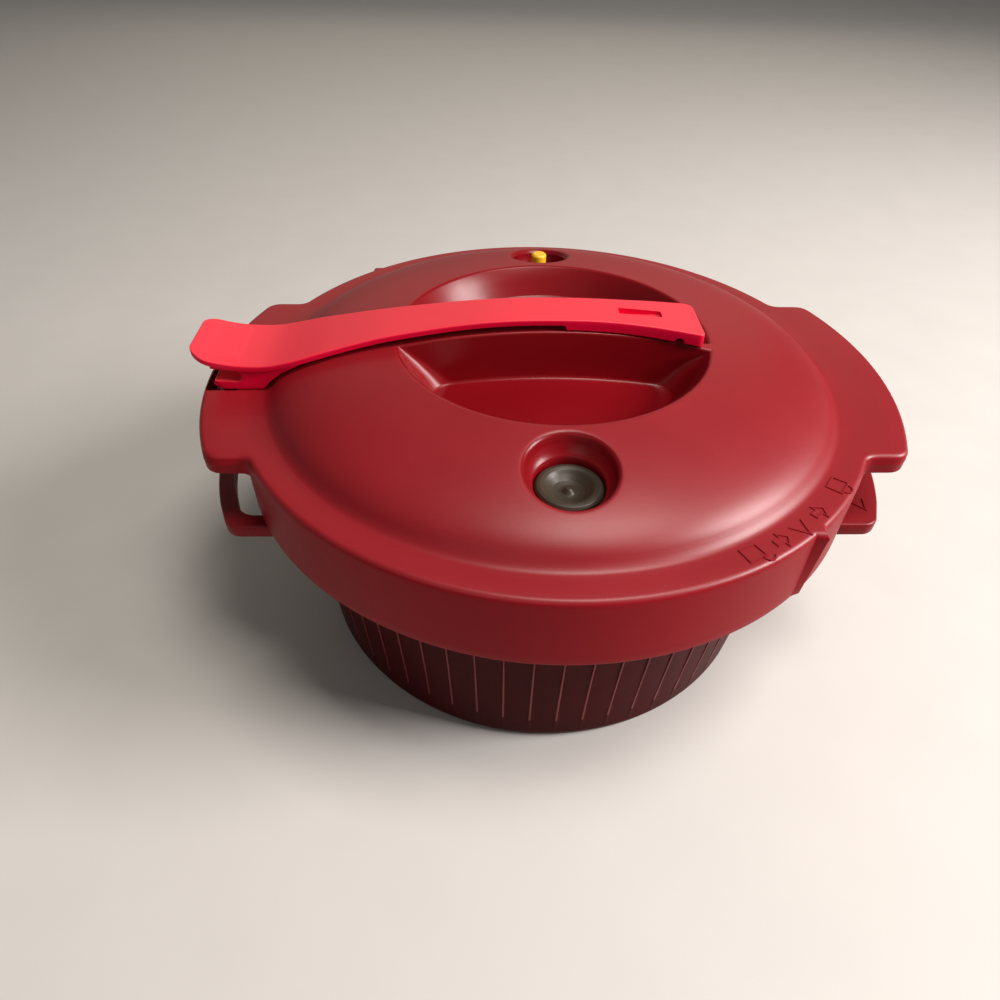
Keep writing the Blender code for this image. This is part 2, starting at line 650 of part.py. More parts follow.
def make_lever():
    lever = lever_plate()
    side = [
        (-112.3, 113.5), (-131, 113.5), (-131.9, 114.9), (-131, 116.1), (-121.5, 116.3),
        (-119.5, 117.6), (-119.5, 119.6), (-121.5, 121.0), (-131, 122.6), (-131, 124.6),
        (-120, 123.2), (-108, 123.5), (-97, 126.2), (-97.5, 123.9), (-104.5, 121), (-109.8, 117),
    ]
    add(lever, side_plate("pivot_block", in_mm(side), BLOCK_HALF_Y, CORAL))
    near, far = KNUCKLE_Y
    add(
        lever,
        rod_along_y("knuckle_front", PIN_X, PIN_Z, KNUCKLE_R, -far, -near, CORAL),
        rod_along_y("knuckle_back", PIN_X, PIN_Z, KNUCKLE_R, near, far, CORAL),
    )
    cut(
        lever,
        rod_along_y("lever_bore", PIN_X, PIN_Z, PIN_HOLE_R, -far - 2 * MM, far + 2 * MM, CORAL),
        block("lever_slot", (23.5 * MM, -1.6 * MM, 136.6 * MM), (41 * MM, 1.6 * MM, 142 * MM)),
    )
    hinge = bpy.data.objects.new("lever_hinge", None)
    hinge.location = (PIN_X, 0, PIN_Z)
    bpy.context.scene.collection.objects.link(hinge)
    lever.parent = hinge
    lever.matrix_parent_inverse = Matrix.Translation((-PIN_X, 0, -PIN_Z))
    rod_along_y("lever_pin", PIN_X, PIN_Z, PIN_R, -PIN_HALF_LENGTH, PIN_HALF_LENGTH, STEEL, 16)
    block("lock_bolt", (BOLT_X[0], -BOLT_HALF_Y, BOLT_Z[0]), (BOLT_X[1], BOLT_HALF_Y, BOLT_Z[1]), CORAL)


make_bowl()
make_gasket()
make_cover()
make_safety_plug()
make_regulator()
make_regulator_spring()
make_steam_guard()
make_indicator()
make_lever()
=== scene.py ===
"""The looks of the microwave pressure cooker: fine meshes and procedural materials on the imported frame.

Everything is in the frame's metres: +Z up, +X through the right handle, -Y the front.
"""

import json
from bisect import bisect_right
from math import atan2, cos, degrees, hypot, pi, radians, sin, sqrt

import bmesh
import bpy
from mathutils import Matrix, Vector

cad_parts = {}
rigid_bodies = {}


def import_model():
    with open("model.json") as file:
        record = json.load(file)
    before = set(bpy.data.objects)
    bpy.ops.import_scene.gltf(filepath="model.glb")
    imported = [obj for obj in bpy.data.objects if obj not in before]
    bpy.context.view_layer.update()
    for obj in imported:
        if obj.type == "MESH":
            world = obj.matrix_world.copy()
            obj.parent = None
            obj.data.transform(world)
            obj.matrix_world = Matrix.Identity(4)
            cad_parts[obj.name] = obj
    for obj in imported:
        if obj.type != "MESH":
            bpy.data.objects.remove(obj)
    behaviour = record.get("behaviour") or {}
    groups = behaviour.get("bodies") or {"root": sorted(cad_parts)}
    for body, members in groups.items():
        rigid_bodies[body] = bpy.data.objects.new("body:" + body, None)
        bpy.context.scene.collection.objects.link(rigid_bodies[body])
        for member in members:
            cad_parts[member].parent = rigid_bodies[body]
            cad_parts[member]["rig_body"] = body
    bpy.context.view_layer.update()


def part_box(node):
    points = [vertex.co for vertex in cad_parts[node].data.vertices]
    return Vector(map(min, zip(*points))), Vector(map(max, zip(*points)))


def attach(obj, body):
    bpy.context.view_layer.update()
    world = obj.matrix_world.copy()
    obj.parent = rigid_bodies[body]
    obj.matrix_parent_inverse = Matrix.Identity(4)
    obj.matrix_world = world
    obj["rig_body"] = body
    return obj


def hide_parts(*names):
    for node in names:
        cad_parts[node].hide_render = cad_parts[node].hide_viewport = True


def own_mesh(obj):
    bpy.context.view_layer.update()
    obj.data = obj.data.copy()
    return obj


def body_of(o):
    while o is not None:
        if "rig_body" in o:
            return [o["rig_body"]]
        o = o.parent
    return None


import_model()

MM = 0.001

# The lid, with its driving sizes read from the frame
cover_low, cover_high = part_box("cover")
RIM_R = cover_high.y
HANDLE_R = cover_high.x
SKIRT_BOTTOM_Z = cover_low.z
BAR_TOP_Z = cover_high.z
RIM_Z = SKIRT_BOTTOM_Z + 30 * MM
RIM_FILLET = 2.0 * MM
SKIRT_IN_R = RIM_R - 2.8 * MM
LID_WALL = 3.0 * MM
DOME_R = 110.0 * MM
DOME_HEIGHT = 20.4 * MM
HANDLE_HALF_Y = 57.0 * MM
HANDLE_CORNER_R = 7.0 * MM
HANDLE_ROOT_R = 5.0 * MM
HANDLE_THICKNESS = 8.0 * MM
POINTER_ANGLES = (130.2, 310.2)
POINTER_HALF_ANGLE = 1.35
POINTER_TOP = 3.0 * MM
POINTER_BOTTOM = 1.0 * MM
LUG_ANGLES = (45, 135, 225, 315)
LUG_HALF_ANGLE = 13
LUG_EDGE = 0.6 * MM
LID_LUG_R = 117.2 * MM
LID_LUG_LOW, LID_LUG_HIGH = SKIRT_BOTTOM_Z + 2 * MM, SKIRT_BOTTOM_Z + 6.5 * MM
BOWL_LUG_R = 116.6 * MM
BOWL_LUG_LOW, BOWL_LUG_HIGH = 90.0 * MM, 94.5 * MM

# The grip recess, the bar across it and the finger notch at the bar's right end
RECESS_FLOOR_R = 49.5 * MM
RECESS_LEAN = 12.0 / 17.0  # outwards for each unit up
RECESS_EDGE_R = 62.6 * MM
RECESS_EDGE_FILLET = 2.4 * MM
RECESS_OUTER_R = 63.1 * MM
BAR_HALF_WIDTH = 9.9 * MM
BAR_FLARE = 1.6 * MM
BAR_ARCH = 6.1 * MM
BAR_R = 61.5 * MM
BAR_EDGE_FILLET = 1.0 * MM
BAR_DRAFT = 0.8 * MM
NOTCH_X = 50.0 * MM
NOTCH_Y = -8.0 * MM
NOTCH_FLOOR_Z = RIM_Z + 6.0 * MM

# The dimples, and the holes for the valve, the indicator and the safety plug
DIMPLE_Y = 80.0 * MM
FRONT_FLOOR_Z = RIM_Z - 1 * MM
BACK_FLOOR_Z = RIM_Z + 1 * MM
PLUG_Y = 31.0 * MM
VALVE_HOLE_R, INDICATOR_HOLE_R, PLUG_HOLE_R = 8.4 * MM, 4.6 * MM, 3.4 * MM

# The lever and its hinge
pin_low, pin_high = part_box("lever_pin")
PIN_X = (pin_low.x + pin_high.x) / 2
PIN_Z = (pin_low.z + pin_high.z) / 2


# ---------------------------------------------------------------- shape tools

def polar(radius, deg):
    return Vector((radius * cos(radians(deg)), radius * sin(radians(deg))))


def at(plan, z):
    return Vector((plan[0], plan[1], z))


def direction(plan):
    return degrees(atan2(plan.y, plan.x))


def turn_between(a, b):
    """The angle between two directions in degrees."""
    return abs((a - b + 180) % 360 - 180)


def smooth(t):
    t = min(max(t, 0.0), 1.0)
    return t * t * (3 - 2 * t)


def spread(start, end, count):
    """count + 1 evenly spaced numbers from start to end."""
    return [start + (end - start) * i / count for i in range(count + 1)]


def through(points, x):
    """Height at x of a smooth curve through a few (x, height) points."""
    if x <= points[0][0]:
        return points[0][1]
    if x >= points[-1][0]:
        return points[-1][1]
    i = bisect_right([px for px, _ in points], x) - 1
    (x0, z0), (x1, z1) = points[i], points[i + 1]
    span = x1 - x0
    t = (x - x0) / span

    def slope(k):
        low, high = max(k - 1, 0), min(k + 1, len(points) - 1)
        return (points[high][1] - points[low][1]) / (points[high][0] - points[low][0])

    bend = slope(i) * t * (1 - t) ** 2 - slope(i + 1) * t * t * (1 - t)
    return z0 + (z1 - z0) * smooth(t) + span * bend


def rounded(corners, steps=5):
    """An outline through (x, y, fillet radius) corners, with each corner turned into an arc."""
    outline = []
    for i, (x, y, radius) in enumerate(corners):
        here = Vector((x, y))
        if radius == 0:
            outline.append(here)
            continue
        before = (Vector(corners[i - 1][:2]) - here).normalized()
        after = (Vector(corners[(i + 1) % len(corners)][:2]) - here).normalized()
        half = before.angle(after) / 2
        middle = here + (before + after).normalized() * (radius / sin(half))
        reach = radius * cos(half) / sin(half)
        start = here + before * reach - middle
        sweep = start.angle_signed(here + after * reach - middle)
        outline += [middle + Matrix.Rotation(-sweep * k / steps, 2) @ start for k in range(steps + 1)]
    return outline


class Skin:
    """Collects rows of points joined by quads. Points that coincide become one when it is finished."""

    def __init__(self):
        self.shape = bmesh.new()

    def rows(self, rows, material=0, closed=False):
        made = [[self.shape.verts.new(p) for p in row] for row in rows]
        for row, after in zip(made, made[1:]):
            for i in range(len(row) if closed else len(row) - 1):
                j = (i + 1) % len(row)
                face = self.shape.faces.new((row[i], row[j], after[j], after[i]))
                face.material_index = material

    def cap(self, loop, material=0):
        face = self.shape.faces.new([self.shape.verts.new(p) for p in loop])
        face.material_index = material

    def tube(self, rows):
        """Closed rows with a cap at both ends."""
        self.rows(rows, closed=True)
        self.cap(rows[0])
        self.cap(rows[-1])

    def finish(self, name, materials, sharp=35):
        bmesh.ops.remove_doubles(self.shape, verts=self.shape.verts, dist=2e-6)
        bmesh.ops.dissolve_degenerate(self.shape, edges=self.shape.edges, dist=1e-6)
        bmesh.ops.recalc_face_normals(self.shape, faces=self.shape.faces)
        mesh = bpy.data.meshes.new(name)
        self.shape.to_mesh(mesh)
        self.shape.free()
        for material in materials:
            mesh.materials.append(material)
        mesh.shade_smooth()
        mesh.set_sharp_from_angle(angle=radians(sharp))
        made = bpy.data.objects.new(name, mesh)
        bpy.context.scene.collection.objects.link(made)
        return made


def tube(name, rows, materials, sharp=35):
    skin = Skin()
    skin.tube(rows)
    return skin.finish(name, materials, sharp)


def turned(name, profile, materials, centre=(0, 0), segments=96, sharp=35):
    """A closed (radius, height) profile turned about a vertical axis."""
    skin = Skin()
    rows = []
    for radius, z in profile:
        rows.append([at(Vector(centre) + polar(radius, 360 * k / segments), z) for k in range(segments)])
    skin.rows(rows + rows[:1], closed=True)
    return skin.finish(name, materials, sharp)


def extruded(name, outline, z_low, z_high, materials, edge=0.0, sharp=35):
    """A plan outline as a plate, with its edges rounded by the edge radius."""
    made = tube(name, [[at(p, z) for p in outline] for z in (z_low, z_high)], materials, sharp)
    if edge:
        round_edges(made, edge)
    return made


def round_edges(piece, width, segments=3, angle=40):
    bevel = piece.modifiers.new("rounding", "BEVEL")
    bevel.width = width
    bevel.segments = segments
    bevel.limit_method = "ANGLE"
    bevel.angle_limit = radians(angle)
    bevel.harden_normals = False
    apply_modifiers(piece)


def block(low, high, edge=0.0, materials=()):
    (x0, y0, z0), (x1, y1, z1) = low, high
    return extruded("block", [(x0, y0), (x1, y0), (x1, y1), (x0, y1)], z0, z1, materials, edge)


def apply_modifiers(piece, sharp=35):
    """Makes what the modifiers give the piece's own mesh."""
    graph = bpy.context.evaluated_depsgraph_get()
    mesh = bpy.data.meshes.new_from_object(piece.evaluated_get(graph))
    old = piece.data
    piece.modifiers.clear()
    piece.data = mesh
    bpy.data.meshes.remove(old)
    mesh.shade_smooth()
    mesh.set_sharp_from_angle(angle=radians(sharp))


def combine(piece, operation, tools, solver="MANIFOLD", sharp=35):
    for tool in tools:
        step = piece.modifiers.new(tool.name, "BOOLEAN")
        step.operation = operation
        step.solver = solver
        step.object = tool
    apply_modifiers(piece, sharp)
    for tool in tools:
        bpy.data.objects.remove(tool)


def add(piece, *tools, **options):
    combine(piece, "UNION", tools, **options)


def cut(piece, *tools, **options):
    combine(piece, "DIFFERENCE", tools, **options)


def placed(piece, body, slot, *nodes):
    """Hangs a finished piece on its CAD body, in the place of the CAD nodes that it stands for."""
    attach(piece, body)
    if nodes:
        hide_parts(*nodes)
    return piece


# ---------------------------------------------------------------- materials

def add_node(tree, kind, **values):
    """A new shader node, with values for the sockets of those names."""
    made = tree.nodes.new("ShaderNode" + kind)
    for socket, value in values.items():
        made.inputs[socket.replace("_", " ")].default_value = value
    return made


def plastic(name, colour, roughness, grain=0.35, relief=0.02, mottle=0.06, sheen=0.0, metallic=0.0,
            specular=0.5, side_shade_colour=None, side_specular=None):
    """A moulded surface: slow colour drift, fine grain in relief, and roughness that wanders with both.

    grain is the grain's size in millimetres, relief its depth in millimetres. Upright faces can have
    a darker colour of their own, painted shade, and a specular level of their own.
    """
    made = bpy.data.materials.new(name)
    made.use_nodes = True
    tree = made.node_tree
    link = tree.links.new
    shader = tree.nodes["Principled BSDF"]
    place = add_node(tree, "TexCoord").outputs["Object"]

    def noise(size_mm, detail):
        texture = add_node(tree, "TexNoise", Scale=1000 / size_mm, Detail=detail)
        link(place, texture.inputs["Vector"])
        return texture.outputs["Fac"]

    drift = noise(38, 3)
    fine = noise(grain, 2)
    tone = add_node(tree, "ValToRGB")
    dark, light = tone.color_ramp.elements
    dark.position, light.position = 0.3, 0.7
    dark.color = (*[c * (1 - mottle) for c in colour], 1)
    light.color = (*[min(c * (1 + mottle), 1) for c in colour], 1)
    link(drift, tone.inputs["Fac"])
    base = tone.outputs["Color"]
    # Upright faces take the side colour: a darker red painted on as shade.
    if side_shade_colour:
        mix = add_node(tree, "Mix")
        mix.data_type = "RGBA"
        link(steepness(tree), mix.inputs["Factor"])
        link(base, mix.inputs["A"])
        mix.inputs["B"].default_value = (*side_shade_colour, 1)
        base = mix.outputs["Result"]
    link(base, shader.inputs["Base Color"])

    gloss = add_node(tree, "MapRange", From_Min=0.25, From_Max=0.75, To_Min=roughness * 0.9,
                     To_Max=min(roughness * 1.12, 1))
    both, half = add_node(tree, "Math"), add_node(tree, "Math")
    both.operation, half.operation = "MULTIPLY_ADD", "MULTIPLY"
    for noise_share, source in ((both, fine), (half, drift)):
        noise_share.inputs[1].default_value = 0.5
        link(source, noise_share.inputs[0])
    link(half.outputs[0], both.inputs[2])
    link(both.outputs[0], gloss.inputs["Value"])
    link(gloss.outputs["Result"], shader.inputs["Roughness"])

    bump = add_node(tree, "Bump", Strength=1.0, Distance=relief * MM)
    link(fine, bump.inputs["Height"])
    link(bump.outputs["Normal"], shader.inputs["Normal"])

    shader.inputs["Metallic"].default_value = metallic
    shader.inputs["Sheen Weight"].default_value = sheen
    shader.inputs["Specular IOR Level"].default_value = specular
    if side_specular is not None:
        level = add_node(tree, "MapRange", To_Min=specular, To_Max=side_specular)
        link(steepness(tree), level.inputs["Value"])
        link(level.outputs["Result"], shader.inputs["Specular IOR Level"])
    return made


def steepness(tree):
    """0 where a face looks up, 1 where it is upright."""
    normal = add_node(tree, "TexCoord").outputs["Normal"]
    split = add_node(tree, "SeparateXYZ")
    tree.links.new(normal, split.inputs[0])
    steep = add_node(tree, "MapRange", From_Min=0.75, From_Max=0.35)
    tree.links.new(split.outputs["Z"], steep.inputs["Value"])
    return steep.outputs["Result"]


LID_MATTE = plastic("lid_matte", (0.26, 0.005, 0.011), 0.41, 0.45, 0.018, 0.05, specular=0.58,
                    side_specular=0.06)
# Recess and dimple interiors: a real polished finish, with a base darker than the top's red that is painted
# shade in the hollows.
LID_POLISHED_SHADED = plastic("lid_polished_shaded", (0.20, 0.0025, 0.006), 0.29, 6.0, 0.01, 0.04, specular=0.32)
BOWL_PLASTIC = plastic("bowl_plastic", (0.050, 0.003, 0.004), 0.40, 3.5, 0.008, 0.12, specular=0.03)
BOWL_HANDLE = plastic("bowl_handle", (0.20, 0.005, 0.009), 0.35, 0.6, 0.01, 0.06, specular=0.4,
                      side_specular=0.1)
# Rib crests: the bowl's plastic painted a brighter red, painted light for the light shining through the thin
# ribs.
BOWL_RIB_PAINTED_LIGHT = plastic("bowl_rib_painted_light", (0.17, 0.005, 0.008), 0.3, 1.5, 0.006, 0.1, specular=0.25)
BOWL_INSIDE = plastic("bowl_inside", (0.06, 0.007, 0.009), 0.2, 5.0, 0.01, 0.1)
# The lever's upright sides get a darker, deeper red than its top: painted shade.
LEVER_PLASTIC = plastic("lever_plastic", (0.78, 0.036, 0.060), 0.42, 0.6, 0.008, 0.04, specular=0.4,
                        side_shade_colour=(0.75, 0.002, 0.04), side_specular=0.15)
KNOB_PLASTIC = plastic("knob_plastic", (0.042, 0.032, 0.020), 0.40, 0.5, 0.008, 0.15, specular=0.6)
INDICATOR_PLASTIC = plastic("indicator_plastic", (0.95, 0.52, 0.02), 0.3, 1.2, 0.006, 0.05)
SILICONE = plastic("silicone", (0.52, 0.52, 0.50), 0.55, 0.9, 0.01, 0.05, sheen=0.15)
RED_SILICONE = plastic("red_silicone", (0.38, 0.025, 0.025), 0.5, 0.9, 0.01, 0.08, sheen=0.1)
NYLON = plastic("nylon", (0.024, 0.024, 0.026), 0.42, 0.7, 0.014, 0.2)
STEEL = plastic("steel", (0.62, 0.62, 0.63), 0.22, 0.25, 0.004, 0.06, metallic=1.0)

LID_MATERIALS = [LID_MATTE, LID_POLISHED_SHADED]
BOWL_MATERIALS = [BOWL_PLASTIC, BOWL_RIB_PAINTED_LIGHT, BOWL_INSIDE, BOWL_HANDLE]


# ---------------------------------------------------------------- lid: plan and heights

def dome_z(radius):
    return RIM_Z + DOME_HEIGHT * sqrt(max(1 - (radius / DOME_R) ** 2, 0))


def top_z(plan):
    """The lid's upper surface: the dome outside the recess, and the arched top of the bar within it."""
    share = smooth((plan.length - 50 * MM) / (12.5 * MM))
    bar = BAR_TOP_Z - BAR_ARCH * (plan.x / BAR_R) ** 2
    return bar + (dome_z(plan.length) - bar) * share


def lid_outline_table():
    """A quarter of the lid's outline as (degrees, radius), from the handle's middle to the rim's back."""
    corner_y = HANDLE_HALF_Y - HANDLE_CORNER_R
    corner = Vector((sqrt((HANDLE_R - HANDLE_CORNER_R) ** 2 - corner_y**2), corner_y))
    root_y = HANDLE_HALF_Y + HANDLE_ROOT_R
    root = Vector((sqrt((RIM_R + HANDLE_ROOT_R) ** 2 - root_y**2), root_y))
    corner_start = degrees(corner.angle_signed(Vector((1, 0))))
    root_end = degrees(root.angle_signed(Vector((1, 0))))
    points = [polar(HANDLE_R, a) for a in spread(0, corner_start, 20)]
    points += [corner + polar(HANDLE_CORNER_R, a) for a in spread(corner_start, 90, 14)]
    points += [Vector((x, HANDLE_HALF_Y)) for x in spread(corner.x, root.x, 12)]
    points += [root + polar(HANDLE_ROOT_R, a) for a in spread(270, 180 + root_end, 12)]
    points += [polar(RIM_R, a) for a in spread(root_end, 90, 30)]
    table = sorted((direction(p), p.length) for p in points)
    return [a for a, _ in table], [r for _, r in table]


OUTLINE_DEGREES, OUTLINE_RADII = lid_outline_table()


def outline_radius(deg):
    turn = turn_between(deg, 0)
    turn = min(turn, 180 - turn)
    i = min(max(bisect_right(OUTLINE_DEGREES, turn), 1), len(OUTLINE_DEGREES) - 1)
    a0, a1 = OUTLINE_DEGREES[i - 1], OUTLINE_DEGREES[i]
    share = (turn - a0) / max(a1 - a0, 1e-9)
    return OUTLINE_RADII[i - 1] + (OUTLINE_RADII[i] - OUTLINE_RADII[i - 1]) * share


def outline_point(deg):
    """The outline's point in that direction, and its outward normal."""
    before = polar(outline_radius(deg - 0.05), deg - 0.05)
    after = polar(outline_radius(deg + 0.05), deg + 0.05)
    along = (after - before).normalized()
    return polar(outline_radius(deg), deg), Vector((along.y, -along.x))


def pointer_share(deg):
    nearest = min(turn_between(deg, a) for a in POINTER_ANGLES)
    return max(1 - nearest / POINTER_HALF_ANGLE, 0)


STRIP_LEFT = 12.0  # half angle of the bar's left end, seen from the lid's axis
STRIP_FRONT = -12.0
STRIP_BACK = -5.8  # the notch takes the back of the bar's right end away
STRIP_CELLS = 24
BEND_START, BEND_END = 22.3, 29.1  # where the outline turns from a handle into the rim
CLOSEST_COLUMNS = 0.14


def directions(start, end):
    """Column directions from start to end in degrees: one a degree, and more where the outline bends."""
    found = spread(start, end, round(abs(end - start)))
    for bend in spread(BEND_START, BEND_END, 17):
        found += [a for a in (bend, 180 - bend, 180 + bend, 360 - bend) if start < a < end]
    for middle in POINTER_ANGLES:
        for off in (0, 0.2, 0.5, 0.8, 1.1, 1.35, 1.6):
            found += [a for a in (middle - off, middle + off) if start < a < end]
    kept = []
    exact = {start, end} | set(POINTER_ANGLES)
    for a in sorted(found):
        if kept and a - kept[-1] < CLOSEST_COLUMNS:
            if a in exact:
                kept[-1] = a
            continue
        kept.append(a)
    return kept


RIGHT_STRIP = spread(STRIP_FRONT, STRIP_BACK, STRIP_CELLS)
BACK_COLUMNS = directions(STRIP_BACK, 180 - STRIP_LEFT)
LEFT_STRIP = spread(180 - STRIP_LEFT, 180 + STRIP_LEFT, STRIP_CELLS)
FRONT_COLUMNS = directions(180 + STRIP_LEFT, 360 + STRIP_FRONT)
COLUMNS = RIGHT_STRIP[:-1] + BACK_COLUMNS[:-1] + LEFT_STRIP[:-1] + FRONT_COLUMNS[:-1]

PATCH_OUTER_R = 99.5 * MM
DOME_RADII = [r * MM for r in (
    63.1, 66, 70, 74, 78, 82, 86, 90, 94, 97, 99.5, 102, 104, 106, 107.5, 108.65)]
PATCH_ROWS = DOME_RADII.index(PATCH_OUTER_R) + 1
PATCH_HALF_ANGLE = 18


def lid_column(deg):
    """One radial cut of the lid: from the recess over dome, flange, edge and skirt to the rib inside."""
    out = polar(1, deg)
    points = [at(out * r, dome_z(r)) for r in DOME_RADII]
    foot = Vector((DOME_RADII[-1], dome_z(DOME_RADII[-1])))
    crease = Vector((111.4 * MM, RIM_Z))
    end = Vector((113.2 * MM, RIM_Z))
    for t in (0.2, 0.4, 0.6, 0.8, 1.0):
        curve = foot * (1 - t) ** 2 + crease * 2 * t * (1 - t) + end * t * t
        points.append(at(out * curve.x, curve.y))

    rim, normal = outline_point(deg)
    share = pointer_share(deg)
    tab = smooth((rim.length - RIM_R) / (4 * MM))
    edge_in = rim - normal * RIM_FILLET
    for t in (0.35, 0.7):
        points.append(at(out * end.x + (edge_in - out * end.x) * t, RIM_Z))
    for a in (0, 15, 30, 45, 60, 75, 90):
        inset = RIM_FILLET * (1 - sin(radians(a)))
        bulge = out * (POINTER_TOP * share * (0.55 + 0.45 * a / 90))
        points.append(at(rim - normal * inset + bulge, RIM_Z - RIM_FILLET * (1 - cos(radians(a)))))

    def proud(z):
        high = (z - SKIRT_BOTTOM_Z) / (RIM_Z - SKIRT_BOTTOM_Z)
        return out * (share * (POINTER_BOTTOM + (POINTER_TOP - POINTER_BOTTOM) * high))

    seam = 0.13 * MM * tab
    for down, ridge in ((3.4, 0), (3.7, 1), (3.9, 1), (4.2, 0)):
        z = RIM_Z - down * MM
        points.append(at(rim + normal * seam * ridge + proud(z), z))
    low = RIM_Z - HANDLE_THICKNESS
    for a in (0, 30, 60, 90):
        inset = 0.7 * MM * tab * (1 - cos(radians(a)))
        points.append(at(rim - normal * inset + proud(low), low + 0.7 * MM * (1 - sin(radians(a)))))
    for z in (low, RIM_Z - 11 * MM, RIM_Z - 16 * MM, RIM_Z - 21 * MM, RIM_Z - 26 * MM):
        points.append(at(out * RIM_R + proud(z), z - 0.05 * MM))
    for a in (0, 30, 60, 90):
        z = SKIRT_BOTTOM_Z + 0.6 * MM * (1 - sin(radians(a)))
        points.append(at(out * (RIM_R - 0.6 * MM * (1 - cos(radians(a)))) + proud(z) * (1 - a / 180), z))
    inner = rounded([
        (SKIRT_IN_R, SKIRT_BOTTOM_Z, 0.5 * MM), (SKIRT_IN_R, RIM_Z - LID_WALL, 1.5 * MM),
        (104.6 * MM, RIM_Z - LID_WALL, 1.0 * MM), (104.6 * MM, RIM_Z - 8.4 * MM, 0.4 * MM),
        (0, RIM_Z - 8.4 * MM, 0),
        (0, SKIRT_BOTTOM_Z, 0),
    ], 4)[:-2]
    return points + [at(out * p.x, p.y) for p in inner]


# ---------------------------------------------------------------- lid: recess and bar

def bar_half_width(x):
    return BAR_HALF_WIDTH + BAR_FLARE * (x / BAR_R) ** 2


def recess_floor_z(x):
    """The floor is crowned along the bar."""
    return RIM_Z + 2.8 * MM - 3.4 * MM * (x / (47 * MM)) ** 2


CORNER_CELLS = 3  # on each side of a pocket corner's middle
EDGE_CELLS, STEP_CELLS, END_CELLS = 40, 6, 5
# Shares along the front edge of the bar that stand across from the back edge's points, notch and all
PLAIN_SHARES = (spread(0, 0.905, EDGE_CELLS) + spread(0.905, 0.93, STEP_CELLS)[1:]
                + spread(0.93, 1, END_CELLS)[1:-1])


def corner_points(radius, gap, fillet):
    """The rounded corner at +X +Y between the recess's circle and the bar's edge."""
    low, high = 30 * MM, 64 * MM
    for _ in range(40):
        x = (low + high) / 2
        normal = Vector((-2 * BAR_FLARE * x / BAR_R**2, 1)).normalized()
        centre = Vector((x, bar_half_width(x) - gap)) + normal * fillet
        if centre.length > radius - fillet:
            high = x
        else:
            low = x
    ends = (direction(centre), direction(-normal))
    return [centre + polar(fillet, a) for a in spread(*ends, 2 * CORNER_CELLS)]


def notch_corner_points(radius, gap, fillet):
    """The same for the corner where the recess's circle meets the notch's front wall."""
    y = NOTCH_Y - gap + fillet
    centre = Vector((sqrt((radius - fillet) ** 2 - y * y), y))
    return [centre + polar(fillet, a) for a in spread(direction(centre), -90, 2 * CORNER_CELLS)]


def pocket_loop(columns, radius, gap, fillet, notched=None):
    """Plan of one pocket at one level, on the +Y side: the arc from right to left, then the bar's edge.

    notched is True above the notch's floor, False where the right end is a sharp corner, and None where
    it is rounded like the left one. Each point comes with its share of the bar side, for the corners.
    """
    plain = corner_points(radius, gap, fillet)
    left = [Vector((-p.x, p.y)) for p in plain]
    right = notch_corner_points(radius, gap, fillet) if notched else plain
    shares = spread(0, 1, 2 * CORNER_CELLS)
    sharp = notched is False
    foot_turn = direction(plain[0])
    foot = polar(radius, foot_turn)
    arc_start = degrees(atan2(NOTCH_Y, radius)) if sharp else direction(right[0])
    arc_end = direction(left[0])
    first, last = columns[CORNER_CELLS], columns[-1 - CORNER_CELLS]
    arc = [(foot, 0.0)] * CORNER_CELLS if sharp else list(zip(right, shares))[CORNER_CELLS:0:-1]
    for a in columns[CORNER_CELLS:-CORNER_CELLS]:
        turn = arc_start + (arc_end - arc_start) * (a - first) / (last - first)
        arc.append((polar(radius, max(turn, foot_turn) if sharp else turn), 0.0))
    arc += list(zip(left, shares))[1:CORNER_CELLS + 1]

    def on_edge(x):
        return Vector((x, bar_half_width(x) - gap))

    start, end = left[-1].x, right[-1].x
    switch = min(NOTCH_X - gap, foot.x - 1 * MM) if sharp else NOTCH_X - gap
    if notched is None:
        stations = [on_edge(start + (end - start) * share) for share in PLAIN_SHARES]
    else:
        stations = [on_edge(x) for x in spread(start, switch, EDGE_CELLS)]
    if notched:
        stations += [Vector((switch, y)) for y in spread(stations[-1].y, NOTCH_Y - gap, STEP_CELLS)[1:]]
        stations += [Vector((x, NOTCH_Y - gap)) for x in spread(switch, end, END_CELLS)[1:-1]]
    if sharp:
        stations += [stations[-1].lerp(foot, t) for t in spread(0, 1, STEP_CELLS + END_CELLS)[1:-1]]
    bar = list(zip(left, shares))[CORNER_CELLS:] + [(p, 1.0) for p in stations[1:]]
    bar += [(foot, 1.0)] * (CORNER_CELLS + 1) if sharp else list(zip(right, shares))[:CORNER_CELLS - 1:-1]
    return arc, bar


